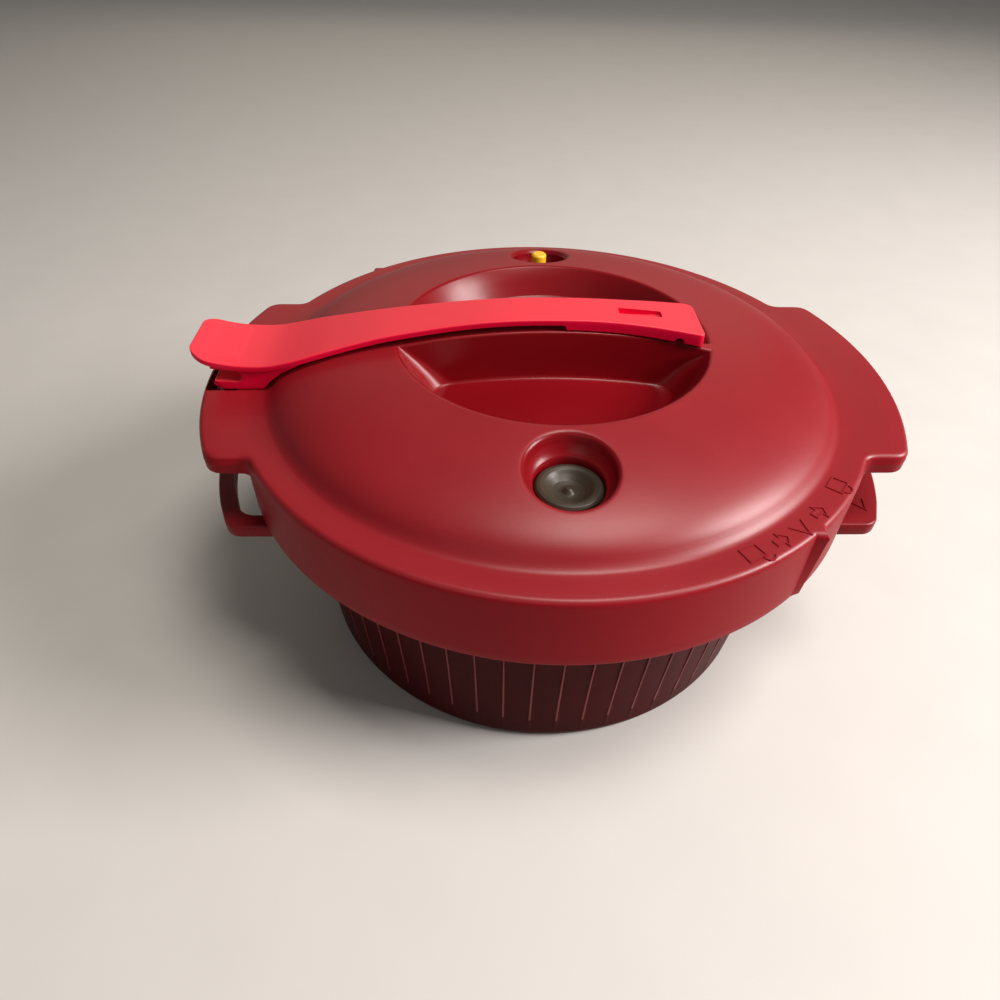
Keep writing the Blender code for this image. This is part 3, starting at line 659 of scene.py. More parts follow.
def pocket_levels(columns, notched):
    """The pocket's loops from the rounded upper edge down to the floor, each as its arc and its bar edge."""
    levels = []
    corner_top = 1.5 * MM
    corner_floor = (3.2 if notched else 7.0) * MM
    foot_fillet, bar_foot = 2.4 * MM, 1.5 * MM

    def add_level(radius, gap, fillet, state, height):
        loops = pocket_loop(columns, radius, gap, fillet, state)
        levels.append([[at(p, height(p, share)) for p, share in loop] for loop in loops])

    def add_wall(z, state):
        share = (BAR_TOP_Z - z) / (BAR_TOP_Z - RIM_Z)
        fillet = corner_top + (corner_floor - corner_top) * share
        radius = RECESS_FLOOR_R + RECESS_LEAN * (z - RIM_Z)
        add_level(radius, -BAR_DRAFT * share, fillet, state, lambda p, s: z)

    for j in range(6):
        arc_a, bar_a = radians(11 * j), radians(18 * j)
        radius = RECESS_EDGE_R - RECESS_EDGE_FILLET * sin(arc_a)
        drops = (RECESS_EDGE_FILLET * (1 - cos(arc_a)), BAR_EDGE_FILLET * (1 - cos(bar_a)))
        add_level(radius, BAR_EDGE_FILLET * (1 - sin(bar_a)), corner_top, notched,
                  lambda p, s: top_z(p) - drops[0] * (1 - s) - drops[1] * s)
    for z in (RIM_Z + 11 * MM, NOTCH_FLOOR_Z):
        add_wall(z, notched or None)
    if notched:
        add_wall(NOTCH_FLOOR_Z, False)
    for j in range(6):
        arc_a, bar_a = radians(54.8 * (1 - j / 5)), radians(90 * (1 - j / 5))
        radius = RECESS_FLOOR_R + RECESS_LEAN * 1.2 * MM - foot_fillet * (0.52 - sin(arc_a))
        rises = (foot_fillet * (1 - cos(arc_a)), bar_foot * (1 - cos(bar_a)))
        add_level(radius, -BAR_DRAFT - bar_foot * (1 - sin(bar_a)), corner_floor, False if notched else None,
                  lambda p, s: recess_floor_z(p.x) + rises[0] * (1 - s) + rises[1] * s)
    return levels


def mirrored(points):
    return [Vector((p.x, -p.y, p.z)) for p in points]


def add_pocket(skin, levels):
    loops = [arc + bar[1:-1] for arc, bar in levels]
    skin.rows(loops[:3], material=0, closed=True)
    # Below the rounded edge the pocket takes the polished material, its darker red painted shade.
    skin.rows(loops[2:], material=1, closed=True)
    arc, bar = levels[-1]
    across = bar[::-1]
    steps = max(len(arc), len(across)) - 1

    def sample(points, share):
        place = share * (len(points) - 1)
        i = min(int(place), len(points) - 2)
        return points[i].lerp(points[i + 1], place - i)

    rows = [arc]
    for share in spread(0, 1, 6)[1:-1]:
        plans = [sample(arc, t).lerp(sample(across, t), share) for t in spread(0, 1, steps)]
        rows.append([at(p, recess_floor_z(p.x)) for p in plans])
    rows.append(across)
    for row, after in zip(rows, rows[1:]):
        zip_rows(skin, row, after, 1)


def zip_rows(skin, row, after, material):
    """Joins two rows with different numbers of points by triangles."""
    a = [skin.shape.verts.new(p) for p in row]
    b = [skin.shape.verts.new(p) for p in after]
    i = j = 0
    while i < len(a) - 1 or j < len(b) - 1:
        step_a = j == len(b) - 1 or (i < len(a) - 1 and (i + 1) / (len(a) - 1) <= (j + 1) / (len(b) - 1))
        corners = (a[i], a[i + 1], b[j]) if step_a else (a[i], b[j + 1], b[j])
        face = skin.shape.faces.new(corners)
        face.material_index = material
        if step_a:
            i += 1
        else:
            j += 1


def recess_circle(angles):
    return [at(polar(RECESS_OUTER_R, a), dome_z(RECESS_OUTER_R)) for a in angles]


def half_way(row, after):
    """The lid's surface midway between two rows."""
    plans = [(p.xy + q.xy) / 2 for p, q in zip(row, after)]
    return [at(p, top_z(p)) for p in plans]


def add_bar_top(skin, front, back):
    """The strip between the two pockets, from the recess's circle at the left to the one at the right."""
    left_arc, right_arc = recess_circle(LEFT_STRIP[::-1]), recess_circle(RIGHT_STRIP)
    rows = []
    for a, b in zip(front, back):
        plans = [a.xy.lerp(b.xy, k / STRIP_CELLS) for k in range(STRIP_CELLS + 1)]
        rows.append([at(p, top_z(p)) for p in plans])
    skin.rows([left_arc, half_way(left_arc, rows[0])] + rows + [half_way(right_arc, rows[-1]), right_arc])


def add_recess_surround(skin, columns, edge):
    """The narrow ring between a pocket's rounded edge and the dome's first circle."""
    circle = recess_circle(columns)
    skin.rows([circle, half_way(circle, edge), edge])


# ---------------------------------------------------------------- lid: dimples

# Walls of the dimples below their rounded edges: (radius in millimetres, share of the height)
FRONT_WALL = (
    (14.65, 0.878), (14.3, 0.822), (13.95, 0.775), (13.6, 0.73), (13.3, 0.698), (13.0, 0.669),
    (12.77, 0.651), (12.55, 0.635), (12.32, 0.621), (12.1, 0.607), (11.85, 0.55), (11.7, 0.40),
    (11.5, 0.20), (10.8, 0.06), (9.2, 0),
)
BACK_WALL = (
    (12.4, 0.93), (12.3, 0.84), (12.1, 0.74), (11.8, 0.62), (11.4, 0.50), (10.9, 0.37), (10.2, 0.24),
    (9.5, 0.13), (9.0, 0.06), (8.7, 0.02), (8.4, 0),
)
FRONT_EDGE_R, BACK_EDGE_R = 16.9 * MM, 15.2 * MM
DIMPLE_ROUNDING = 2.2 * MM


def within_patch(deg, facing):
    return turn_between(deg, facing) <= PATCH_HALF_ANGLE + 1e-6


def add_dimple(skin, table, facing, floor_z, wall_shape, edge_r):
    """Joins the hole in the dome's grid to a round hollow with a rounded edge."""
    inside = [k for k, a in enumerate(COLUMNS) if within_patch(a, facing)]
    rows = range(PATCH_ROWS)
    loop = [table[k][0] for k in inside] + [table[inside[-1]][j] for j in rows][1:-1]
    loop += [table[k][PATCH_ROWS - 1] for k in reversed(inside)]
    loop += [table[inside[0]][j] for j in rows][-2:0:-1]
    centre = polar(DIMPLE_Y, facing)
    rings = []
    heads = [(p.xy - centre).normalized() for p in loop]
    for t in (0, 0.12, 0.3, 0.52, 0.76, 1):
        ring = []
        for p, head in zip(loop, heads):
            plan = (centre + head * edge_r).lerp(p.xy, 1 - t)
            ring.append(p if t == 0 else at(plan, dome_z(plan.length)))
        rings.append(ring)
    skin.rows(rings, closed=True)

    wall = [rings[-1]]
    for a in (12, 24, 36, 48, 60):
        radius = edge_r - DIMPLE_ROUNDING * sin(radians(a))
        plans = [centre + head * radius for head in heads]
        drop = DIMPLE_ROUNDING * (1 - cos(radians(a)))
        wall.append([at(p, dome_z(p.length) - drop) for p in plans])
    lip = wall[-1]
    for radius, share in wall_shape:
        wall.append([at(centre + head * (radius * MM), floor_z + (p.z - floor_z) * share)
                     for head, p in zip(heads, lip)])
    skin.rows(wall[:3], material=0, closed=True)
    # Below the rounded lip the dimple takes the polished material, its darker red painted shade.
    skin.rows(wall[2:], material=1, closed=True)
    skin.cap(wall[-1], material=1)


# ---------------------------------------------------------------- lid: whole cover

def lid_cavity():
    """The hollow under the lid: the dome's inner side, less the walls of the recess and of both dimples."""
    low = RIM_Z - 17 * MM
    shell = [(0, low), (102.5 * MM, low), (102.5 * MM, RIM_Z + 2 * MM)]
    wide, high = DOME_R - LID_WALL, DOME_HEIGHT - LID_WALL
    shell += [(wide * cos(radians(a)), RIM_Z + high * sin(radians(a))) for a in spread(22, 90, 18)]
    cavity = turned("cavity", shell, LID_MATERIALS, segments=180)
    top = RIM_Z + 33 * MM
    floor = RIM_Z - LID_WALL
    cone = rounded([
        (0, floor, 0), (RECESS_FLOOR_R + LID_WALL - 0.6 * MM, floor, 2.5 * MM),
        (RECESS_FLOOR_R + LID_WALL + RECESS_LEAN * (top - RIM_Z), top, 0), (0, top, 0),
    ])
    walls = [turned("recess_wall", cone, LID_MATERIALS, segments=180)]
    for y, floor_r, floor_z in ((-DIMPLE_Y, 11.8 * MM, FRONT_FLOOR_Z), (DIMPLE_Y, 10.5 * MM, BACK_FLOOR_Z)):
        cup = rounded([
            (0, floor_z - LID_WALL, 0), (floor_r + 3.4 * MM, floor_z - LID_WALL, 3 * MM),
            (floor_r + 5.4 * MM, top, 0), (0, top, 0),
        ])
        walls.append(turned("dimple_wall", cup, LID_MATERIALS, (0, y)))
    cut(cavity, *walls)
    return cavity


def bar_hollow():
    rows = []
    for x in spread(-46 * MM, 46 * MM, 46):
        wide = bar_half_width(x) - LID_WALL
        high = BAR_TOP_Z - BAR_ARCH * (x / BAR_R) ** 2 - LID_WALL
        low = RIM_Z - 7 * MM
        rows.append([Vector((x, -wide, low)), Vector((x, wide, low)), Vector((x, wide, high)),
                     Vector((x, -wide, high))])
    return tube("bar_hollow", rows, LID_MATERIALS)


def drill(radius, y):
    low, high = RIM_Z - 9 * MM, RIM_Z + 4 * MM
    return turned("drill", [(0, low), (radius, low), (radius, high), (0, high)], LID_MATERIALS, (0, y), 64)


def rod_along_y(name, x, z, radius, y0, y1, materials, segments=48, edge=0.0):
    rod = turned(name, rounded([(0, y0, 0), (radius, y0, edge), (radius, y1, edge), (0, y1, 0)], 3),
                 materials, segments=segments)
    rod.data.transform(Matrix.Translation((x, 0, z)) @ Matrix.Rotation(-pi / 2, 4, "X"))
    return rod


def lug_ring(r0, r1, z0, z1, materials):
    """The four bayonet lugs between two radii and two heights."""
    lugs = []
    for middle in LUG_ANGLES:
        low, high = middle - LUG_HALF_ANGLE, middle + LUG_HALF_ANGLE
        outline = [polar(r1, a) for a in spread(low, high, 14)]
        outline += [polar(r0, a) for a in spread(high, low, 14)]
        lugs.append(extruded("lug", outline, z0, z1, materials, LUG_EDGE))
    return lugs


def make_cover():
    skin = Skin()
    table = [lid_column(a) for a in COLUMNS]
    for k, column in enumerate(table):
        after = (k + 1) % len(table)
        patch = any(within_patch(COLUMNS[k], a) and within_patch(COLUMNS[after], a) for a in (90, 270))
        start = PATCH_ROWS - 1 if patch else 0
        skin.rows([column[start:], table[after][start:]])
    skin.cap([column[-1] for column in table])

    mirrored_front = [360 - a for a in reversed(FRONT_COLUMNS)]
    back = pocket_levels(BACK_COLUMNS, True)
    front = [(mirrored(arc), mirrored(bar)) for arc, bar in pocket_levels(mirrored_front, False)]
    add_pocket(skin, back)
    add_pocket(skin, front)
    add_recess_surround(skin, BACK_COLUMNS, back[0][0])
    add_recess_surround(skin, [360 - a for a in mirrored_front], front[0][0])
    add_bar_top(skin, front[0][1], back[0][1])
    add_dimple(skin, table, 270, FRONT_FLOOR_Z, FRONT_WALL, FRONT_EDGE_R)
    add_dimple(skin, table, 90, BACK_FLOOR_Z, BACK_WALL, BACK_EDGE_R)
    cover = skin.finish("lid_cover", LID_MATERIALS)

    cut(cover, lid_cavity())
    pocket = block((PIN_X - 6.7 * MM, -16 * MM, PIN_Z - 4 * MM),
                   (PIN_X + 6.2 * MM, 16 * MM, RIM_Z + 5 * MM), 0.9 * MM)
    cut(
        cover, bar_hollow(), pocket,
        drill(VALVE_HOLE_R, -DIMPLE_Y), drill(INDICATOR_HOLE_R, DIMPLE_Y), drill(PLUG_HOLE_R, PLUG_Y),
    )
    bolt_low, bolt_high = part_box("lock_bolt")
    room = Vector((0.4 * MM, 0.4 * MM, 0))
    bolt_hole = block((*(bolt_low - room).xy, RIM_Z - 12 * MM), (*(bolt_high + room).xy, RIM_Z - 4 * MM))
    pin_hole = rod_along_y("pin_hole", PIN_X, PIN_Z, 1.5 * MM, pin_low.y - 0.4 * MM, pin_high.y + 0.4 * MM,
                           LID_MATERIALS)
    cut(cover, bolt_hole, pin_hole)
    add(cover, *lug_ring(LID_LUG_R, SKIRT_IN_R + 0.8 * MM, LID_LUG_LOW, LID_LUG_HIGH, LID_MATERIALS))
    return placed(cover, "lid", "lid_plastic", "cover")


# ---------------------------------------------------------------- lid: raised marks

MARK_HEIGHT = 0.35 * MM
MARK_LINE = 0.85 * MM
MARK_R = 118.3 * MM


def ridge(skin, path, z, closed=False):
    """A low raised line with sloping sides along a plan path."""
    count = len(path)
    rows = []
    for i, here in enumerate(path):
        before = path[i - 1] if closed or i else here
        after = path[(i + 1) % count] if closed or i < count - 1 else here
        into, away = (here - before), (after - here)
        into = into.normalized() if into.length > 0 else away.normalized()
        away = away.normalized() if away.length > 0 else into
        along = (into + away).normalized()
        side = Vector((-along.y, along.x)) / max(along.dot(away), 0.5)
        low, high = side * (MARK_LINE / 2), side * (MARK_LINE / 4)
        rows.append([at(here - low, z - 0.1 * MM), at(here - high, z + MARK_HEIGHT),
                     at(here + high, z + MARK_HEIGHT), at(here + low, z - 0.1 * MM)])
    if closed:
        skin.rows(rows + rows[:1], closed=True)
    else:
        skin.tube(rows)


def on_flange(deg, points):
    """Plan points from (along, outward) millimetres about the flange's middle at that direction."""
    return [polar(MARK_R + out * MM, deg + degrees(along * MM / MARK_R)) for along, out in points]


def make_lid_marks():
    """Plain signs for open, turn and locked beside the front pointer."""
    shackle = [(-1.9, 1.9), (-1.9, 3.0), (-1.3, 3.9), (0, 4.3), (1.3, 3.9), (1.9, 3.0), (1.9, 1.9)]
    body = [(-3.2, -3.4), (3.2, -3.4), (3.2, 1.9), (-3.2, 1.9)]
    arrow = [(-2.6, 1.1), (0.4, 1.1), (0.4, 2.9), (3.2, 0), (0.4, -2.9), (0.4, -1.1), (-2.6, -1.1)]
    middle = POINTER_ANGLES[1] - 360
    skin = Skin()
    ridge(skin, on_flange(middle - 12.6, body), RIM_Z, closed=True)
    ridge(skin, on_flange(middle - 12.6, [(a + 3.8, b) for a, b in shackle[:-1]]), RIM_Z)
    ridge(skin, on_flange(middle + 11.6, body), RIM_Z, closed=True)
    ridge(skin, on_flange(middle + 11.6, shackle), RIM_Z)
    for turn in (-6.9, 3.1):
        ridge(skin, on_flange(middle + turn, arrow), RIM_Z, closed=True)
    ridge(skin, on_flange(middle - 2.1, [(-3.2, -2.2), (0, 3.6), (3.2, -2.2)]), RIM_Z)
    placed(skin.finish("lid_marks", [LID_MATTE]), "lid", "lid_plastic")


# ---------------------------------------------------------------- bowl

BOWL_R = 100.1 * MM
BOWL_TAPER = 0.073
BOWL_RIM_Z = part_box("bowl")[1].z
BOWL_LIP_R = 113.0 * MM
RIB_COUNT = 60
RIB_FIRST = -89.2
RIB_HEIGHT = 1.3 * MM
RIB_LOW, RIB_HIGH = 4.0 * MM, 96.0 * MM
BOWL_HANDLE_TOP = 82.0 * MM
BOWL_HANDLE_LOW = 76.3 * MM
BOWL_HANDLE_HALF_Y = 60.0 * MM


def bowl_outside(z):
    return BOWL_R + BOWL_TAPER * z


def bowl_handle(turn):
    corner = Vector((sqrt(HANDLE_R**2 - BOWL_HANDLE_HALF_Y**2), BOWL_HANDLE_HALF_Y))
    half = rounded([(92 * MM, corner.y, 0), (corner.x, corner.y, 7 * MM), (*polar(HANDLE_R, 20), 0)], 10)
    front = [Vector((p[0], -p[1])) for p in half]
    outline = front + [polar(HANDLE_R, a) for a in spread(-20, 20, 24)][1:-1] + half[::-1]
    turning = Matrix.Rotation(turn, 2)
    handle = extruded("handle", [turning @ Vector(p) for p in outline], BOWL_HANDLE_LOW, BOWL_HANDLE_TOP,
                      BOWL_MATERIALS, 0.9 * MM)
    outer, inner, slot_y = 130.8 * MM, 120.5 * MM, 53.8 * MM
    corners = [(*polar(outer, -5), 2.5 * MM)]
    corners += [(*polar(outer, a), 0) for a in spread(-3, 16, 16)]
    corners += [(sqrt(outer**2 - slot_y**2), slot_y, 8 * MM), (sqrt(inner**2 - slot_y**2), slot_y, 1 * MM)]
    corners += [(*polar(inner, a), 0) for a in spread(25, -3, 18)]
    corners += [(*polar(inner, -5), 2.5 * MM)]
    slot = extruded("slot", [turning @ p for p in rounded(corners, 6)], BOWL_HANDLE_LOW - 3 * MM,
                    BOWL_HANDLE_TOP + 3 * MM, BOWL_MATERIALS)
    cut(handle, slot)
    return handle


def make_bowl():
    wall_low = RIB_LOW + 1.5 * MM
    outer = rounded([
        (58 * MM, 0, 0), (60.4 * MM, 0, 0.4 * MM), (61 * MM, 1 * MM, 0.4 * MM), (89 * MM, 1 * MM, 0.4 * MM),
        (89.6 * MM, 0, 0.4 * MM), (98.9 * MM, 0, 2.2 * MM), (bowl_outside(RIB_LOW), RIB_LOW, 3 * MM),
        (bowl_outside(wall_low), wall_low, 0),
    ], 4)[:-1]
    walls = [(bowl_outside(z), z) for z in spread(wall_low, RIB_HIGH, 22)]
    upper = rounded([
        (bowl_outside(RIB_HIGH + 0.3 * MM), RIB_HIGH + 0.3 * MM, 0),
        (bowl_outside(RIB_HIGH + 2 * MM), RIB_HIGH + 2 * MM, 0.6 * MM),
        (BOWL_LIP_R, RIB_HIGH + 2.6 * MM, 0.5 * MM), (BOWL_LIP_R, BOWL_RIM_Z, 0.6 * MM),
        (bowl_outside(BOWL_RIM_Z) - 3 * MM, BOWL_RIM_Z, 0.7 * MM),
        (97.4 * MM, 3.4 * MM, 6 * MM), (80 * MM, 3.4 * MM, 0),
    ], 5)
    offsets = ((-0.27, 0), (-0.2, 0.5), (-0.1, 0.9), (0, 1), (0.1, 0.9), (0.2, 0.5), (0.27, 0), (1, 0),
               (2, 0), (3, 0), (4, 0), (5, 0))
    skin = Skin()
    columns = []
    pitch = 360 / RIB_COUNT
    for k in range(RIB_COUNT):
        for offset, share in offsets:
            out = polar(1, RIB_FIRST + k * pitch + offset)
            column = [at(out * r, z) for r, z in outer]
            for r, z in walls:
                high = RIB_HEIGHT * share * (z - RIB_LOW) / (RIB_HIGH - RIB_LOW)
                column.append(at(out * (r + max(high, 0)), z))
            column += [at(out * r, z) for r, z in upper]
            columns.append(column)
    ribs = range(len(outer), len(outer) + len(walls))
    for k, column in enumerate(columns):
        after = columns[(k + 1) % len(columns)]
        on_rib = 1 <= k % len(offsets) < 5
        first, last = ribs[0] + 2, ribs[-1] + 1
        inner = len(column) - 8
        skin.rows([column[:first + 1], after[:first + 1]])
        # Faces on the rib crests take the brighter red of painted light.
        skin.rows([column[first:last + 1], after[first:last + 1]], material=1 if on_rib else 0)
        skin.rows([column[last:inner + 1], after[last:inner + 1]])
        skin.rows([column[inner:], after[inner:]], material=2)
    skin.cap([column[0] for column in columns])
    skin.cap([column[-1] for column in columns], material=2)
    bowl = skin.finish("bowl_shell", BOWL_MATERIALS)
    pieces = [bowl_handle(0), bowl_handle(pi)]
    pieces += lug_ring(106 * MM, BOWL_LUG_R, BOWL_LUG_LOW, BOWL_LUG_HIGH, BOWL_MATERIALS)
    tool = bowl_inside_tool()
    for piece in pieces:
        for face in piece.data.polygons:
            face.material_index = BOWL_MATERIALS.index(BOWL_HANDLE)
        cut(piece, copied(tool))
    bpy.data.objects.remove(tool)
    add(bowl, *pieces)
    placed(bowl, "base", "bowl_plastic", "bowl")

    skin = Skin()
    for turn in (0, pi):
        turning = Matrix.Rotation(turn, 2)
        corners = ((116.6, -46.4), (121.9, -51.6), (123.0, -45.2))
        path = [turning @ Vector((x * MM, y * MM)) for x, y in corners]
        ridge(skin, path, BOWL_HANDLE_TOP)
    placed(skin.finish("bowl_handle_marks", [BOWL_HANDLE]), "base", "bowl_plastic")


def copied(piece):
    twin = piece.copy()
    twin.data = piece.data.copy()
    bpy.context.scene.collection.objects.link(twin)
    return twin


def bowl_inside_tool():
    """The room inside the bowl's wall and a little more, so that nothing added outside shows through."""
    slack = 1.5 * MM
    profile = [(0, 66 * MM), (bowl_outside(66 * MM) - slack, 66 * MM),
               (bowl_outside(BOWL_RIM_Z) - slack, BOWL_RIM_Z), (0, BOWL_RIM_Z)]
    return turned("bowl_inside_tool", profile, BOWL_MATERIALS, segments=180)


# ---------------------------------------------------------------- turned pieces

def fine_turned(name, profile, material, centre, edge=0.3, segments=96, steps=3):
    """A turned piece from (radius, height) millimetres, its corners rounded as far as there is room."""
    corners = []
    count = len(profile)
    for i, (r, z) in enumerate(profile):
        before, after = profile[i - 1], profile[(i + 1) % count]
        room = 0.42 * min(hypot(r - before[0], z - before[1]), hypot(after[0] - r, after[1] - z))
        corners.append((r * MM, z * MM, 0 if r == 0 else min(edge, room) * MM))
    return turned(name, rounded(corners, steps), [material], centre, segments)


def turned_piece(name, profile, material, y, body, slot, node, *shape):
    placed(fine_turned(name, profile, material, (0, y), *shape), body, slot, node)


def ring(r_in, r_out, z_low, z_high):
    return [(r_in, z_low), (r_out, z_low), (r_out, z_high), (r_in, z_high)]


def hex_nut(name, r_in, r_out, z_low, z_high, material, y):
    def corner_r(deg):
        return r_out * cos(pi / 6) / cos(radians(deg % 60 - 30))

    chamfer = r_out * 0.9
    skin = Skin()
    rows = []
    for deg in spread(0, 360, 144)[:-1]:
        flat = corner_r(deg)
        shape = [(r_in, z_low + 0.3), (r_in + 0.3, z_low), (min(flat, chamfer), z_low), (flat, z_low + 0.6),
                 (flat, z_high - 0.6), (min(flat, chamfer), z_high), (r_in + 0.3, z_high),
                 (r_in, z_high - 0.3)]
        rows.append([at(Vector((0, y)) + polar(r * MM, deg), z * MM) for r, z in shape])
    skin.rows(rows + rows[:1], closed=True)
    return skin.finish(name, [material], 25)


def threads(radius, z_low, z_high, pitch=1.0, depth=0.25):
    """Ridges of a thread as a profile running upwards."""
    points = []
    z = z_low
    while z + pitch <= z_high:
        points += [(radius - depth, z + 0.25 * pitch), (radius, z + 0.75 * pitch)]
        z += pitch
    return points


def make_gasket():
    profile = [
        (106, 109.6), (105.4, 105.8), (107.5, 103.4), (112.6, 103.4), (113.4, 105.6), (116.6, 105.6),
        (117.2, 103.8), (119.6, 103.8), (120, 109.6),
    ]
    turned_piece("sealing_ring", profile, SILICONE, 0, "seal_ring", "silicone", "lid_gasket", 0.8, 256, 4)


def make_safety_plug():
    profile = [
        (0, 115.2), (2.0, 115.15), (3.4, 114.9), (4.7, 114.1), (5, 113.4), (3, 113.4), (3, 109.6),
        (4.3, 109.6), (3.5, 107.5), (0, 107.5),
    ]
    turned_piece("plug", profile, RED_SILICONE, PLUG_Y, "lid", "red_silicone", "safety_plug", 0.5)


def make_regulator():
    y = -DIMPLE_Y
    housing = [(2.2, 90.3), (8, 90.3), (8, 98.5)] + threads(8, 100, 111) + [
        (8, 113.7), (10.8, 113.7), (10.8, 115), (6.6, 115), (6.6, 92.8), (2.2, 92.8),
    ]
    turned_piece("valve_housing", housing, NYLON, y, "lid", "nylon", "regulator_housing")
    washer = ring(8.5, 11.2, 112.4, 113.3)
    turned_piece("valve_washer", washer, SILICONE, y, "lid", "silicone", "regulator_washer")
    placed(hex_nut("valve_nut", 8.4, 12.2, 104.4, 108.5, NYLON, y), "lid", "nylon", "regulator_nut")
    turned_piece("spring_cap", ring(2.1, 6.2, 109.4, 111.3), NYLON, y, "lid", "nylon", "regulator_cap")
    seat = ring(2.6, 5.2, 93.1, 94.4)
    turned_piece("valve_seat", seat, RED_SILICONE, y, "lid", "red_silicone", "regulator_seat")
    stem = [(0, 94.7), (4.8, 94.7), (4.8, 96.6), (1.6, 96.9), (1.6, 114.8), (0, 114.8)]
    turned_piece("valve_stem", stem, STEEL, y, "relief_valve", "steel", "regulator_stem", 0.25)
    knob = [
        (0, 118.5), (0.9, 118.3), (1.5, 117.6), (2.2, 116.9), (3.4, 116.8), (5.2, 117.3), (7.0, 118.6),
        (8.2, 119.6), (9.4, 120), (10.6, 119.8), (11.3, 118.9), (11.3, 116.7), (10.9, 116.0),
        (3.4, 115.6), (3.4, 112.1), (1.9, 112.1), (1.9, 115.2), (0, 115.2),
    ]
    turned_piece("valve_knob", knob, KNOB_PLASTIC, y, "relief_valve", "knob_plastic", "regulator_knob",
                 0.9, 128, 5)


def make_regulator_spring():
    """A coil from the stem's shoulder up to the housing's cap, its turns closer at both ends."""
    turns, per_turn, sides = 6, 36, 12
    low, high = 97.8 * MM, 108.5 * MM
    coil_r, wire_r = 3.9 * MM, 0.45 * MM
    count = turns * per_turn
    centres = []
    for i in range(count + 1):
        rise = smooth(i / count) * 0.35 + 0.65 * i / count
        plan = Vector((0, -DIMPLE_Y)) + polar(coil_r, 360 * i / per_turn)
        centres.append(at(plan, low + (high - low) * rise))
    rows = []
    for i, centre in enumerate(centres):
        along = (centres[min(i + 1, count)] - centres[max(i - 1, 0)]).normalized()
        out = Vector((*polar(1, 360 * i / per_turn), 0))
        rise = along.cross(out).normalized()
        out = rise.cross(along)
        round_wire = [polar(wire_r, 360 * k / sides) for k in range(sides)]
        rows.append([centre + out * p.x + rise * p.y for p in round_wire])
    spring = placed(tube("valve_spring", rows, [STEEL], 60), "lid", "steel", "regulator_spring")
    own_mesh(spring)


def make_steam_guard():
    cup = [(0, 86), (10.6, 86), (10.6, 98.5), (8.4, 98.5), (8.4, 96.8), (9.4, 96.8), (9.4, 87.3), (0, 87.3)]
    guard = fine_turned("valve_guard", cup, NYLON, (0, -DIMPLE_Y), 0.4)
    slots = []
    for k in range(4):
        bar = block((-14 * MM, -1.3 * MM, 88.5 * MM), (14 * MM, 1.3 * MM, 95 * MM), 0.5 * MM)
        turn = Matrix.Rotation(radians(45 * k + 22.5), 4, "Z")
        bar.data.transform(Matrix.Translation((0, -DIMPLE_Y, 0)) @ turn)
        slots.append(bar)
    cut(guard, *slots)
    placed(guard, "lid", "nylon", "steam_guard")


def make_indicator():
    y = DIMPLE_Y
    pin = [
        (0, 99.2), (4.2, 99.2), (4.2, 101), (1.8, 101.2), (1.8, 116.4), (3.5, 116.4), (3.5, 126.8),
        (2.7, 127.6), (0, 127.6),
    ]
    turned_piece("indicator_button", pin, INDICATOR_PLASTIC, y, "pressure_indicator", "indicator_plastic",
                 "indicator_pin", 0.5)
    turned_piece("indicator_ring", ring(2.1, 4.7, 101.5, 102.9), RED_SILICONE, y, "pressure_indicator",
                 "red_silicone", "indicator_seal", 0.5)
    guide = [(2.2, 108), (4.2, 108)] + threads(4.2, 108.5, 112.5, 0.8, 0.2) + [
        (4.2, 114.4), (6.6, 114.4), (6.6, 116), (2.2, 116),
    ]
    turned_piece("indicator_bush", guide, NYLON, y, "lid", "nylon", "indicator_guide")
    placed(hex_nut("indicator_hex", 4.6, 8.0, 107.9, 110.6, NYLON, y), "lid", "nylon", "indicator_nut")


# ---------------------------------------------------------------- lever

CREST = [(x * MM, z * MM) for x, z in (
    (-139.5, 128.8), (-130, 125.6), (-120, 124.1), (-108, 124.4), (-86, 129.6), (-62, 134.6),
    (-25, 139.4), (8, 140.2), (35, 138.6), (57, 136.0),
)]
HALF_WIDTH = [(x * MM, y * MM) for x, y in (
    (-139.5, 15.0), (-130, 15.8), (-112, 16.4), (-98, 16.1), (-80, 13.6), (-62, 11.6),
    (-30, 9.8), (10, 9.5), (30, 10.2), (57, 12.9),
)]
LEVER_THICKNESS = 2.5 * MM
LEVER_STEP_X = 4.0 * MM
LEVER_EDGE = 0.75 * MM
LEVER_LEFT, LEVER_RIGHT = -139.2 * MM, 57.0 * MM


def round_end(distance, radius):
    """How far a rounded end lies inside its outline at a distance from the end."""
    left = radius - min(distance, radius)
    return radius - sqrt(max(radius * radius - left * left, 0))


def lever_underside(x):
    thin = through(CREST, x) - LEVER_THICKNESS
    rest = BAR_TOP_Z - BAR_ARCH * (x / BAR_R) ** 2 + 0.4 * MM
    return min(thin, rest) if x > LEVER_STEP_X else thin


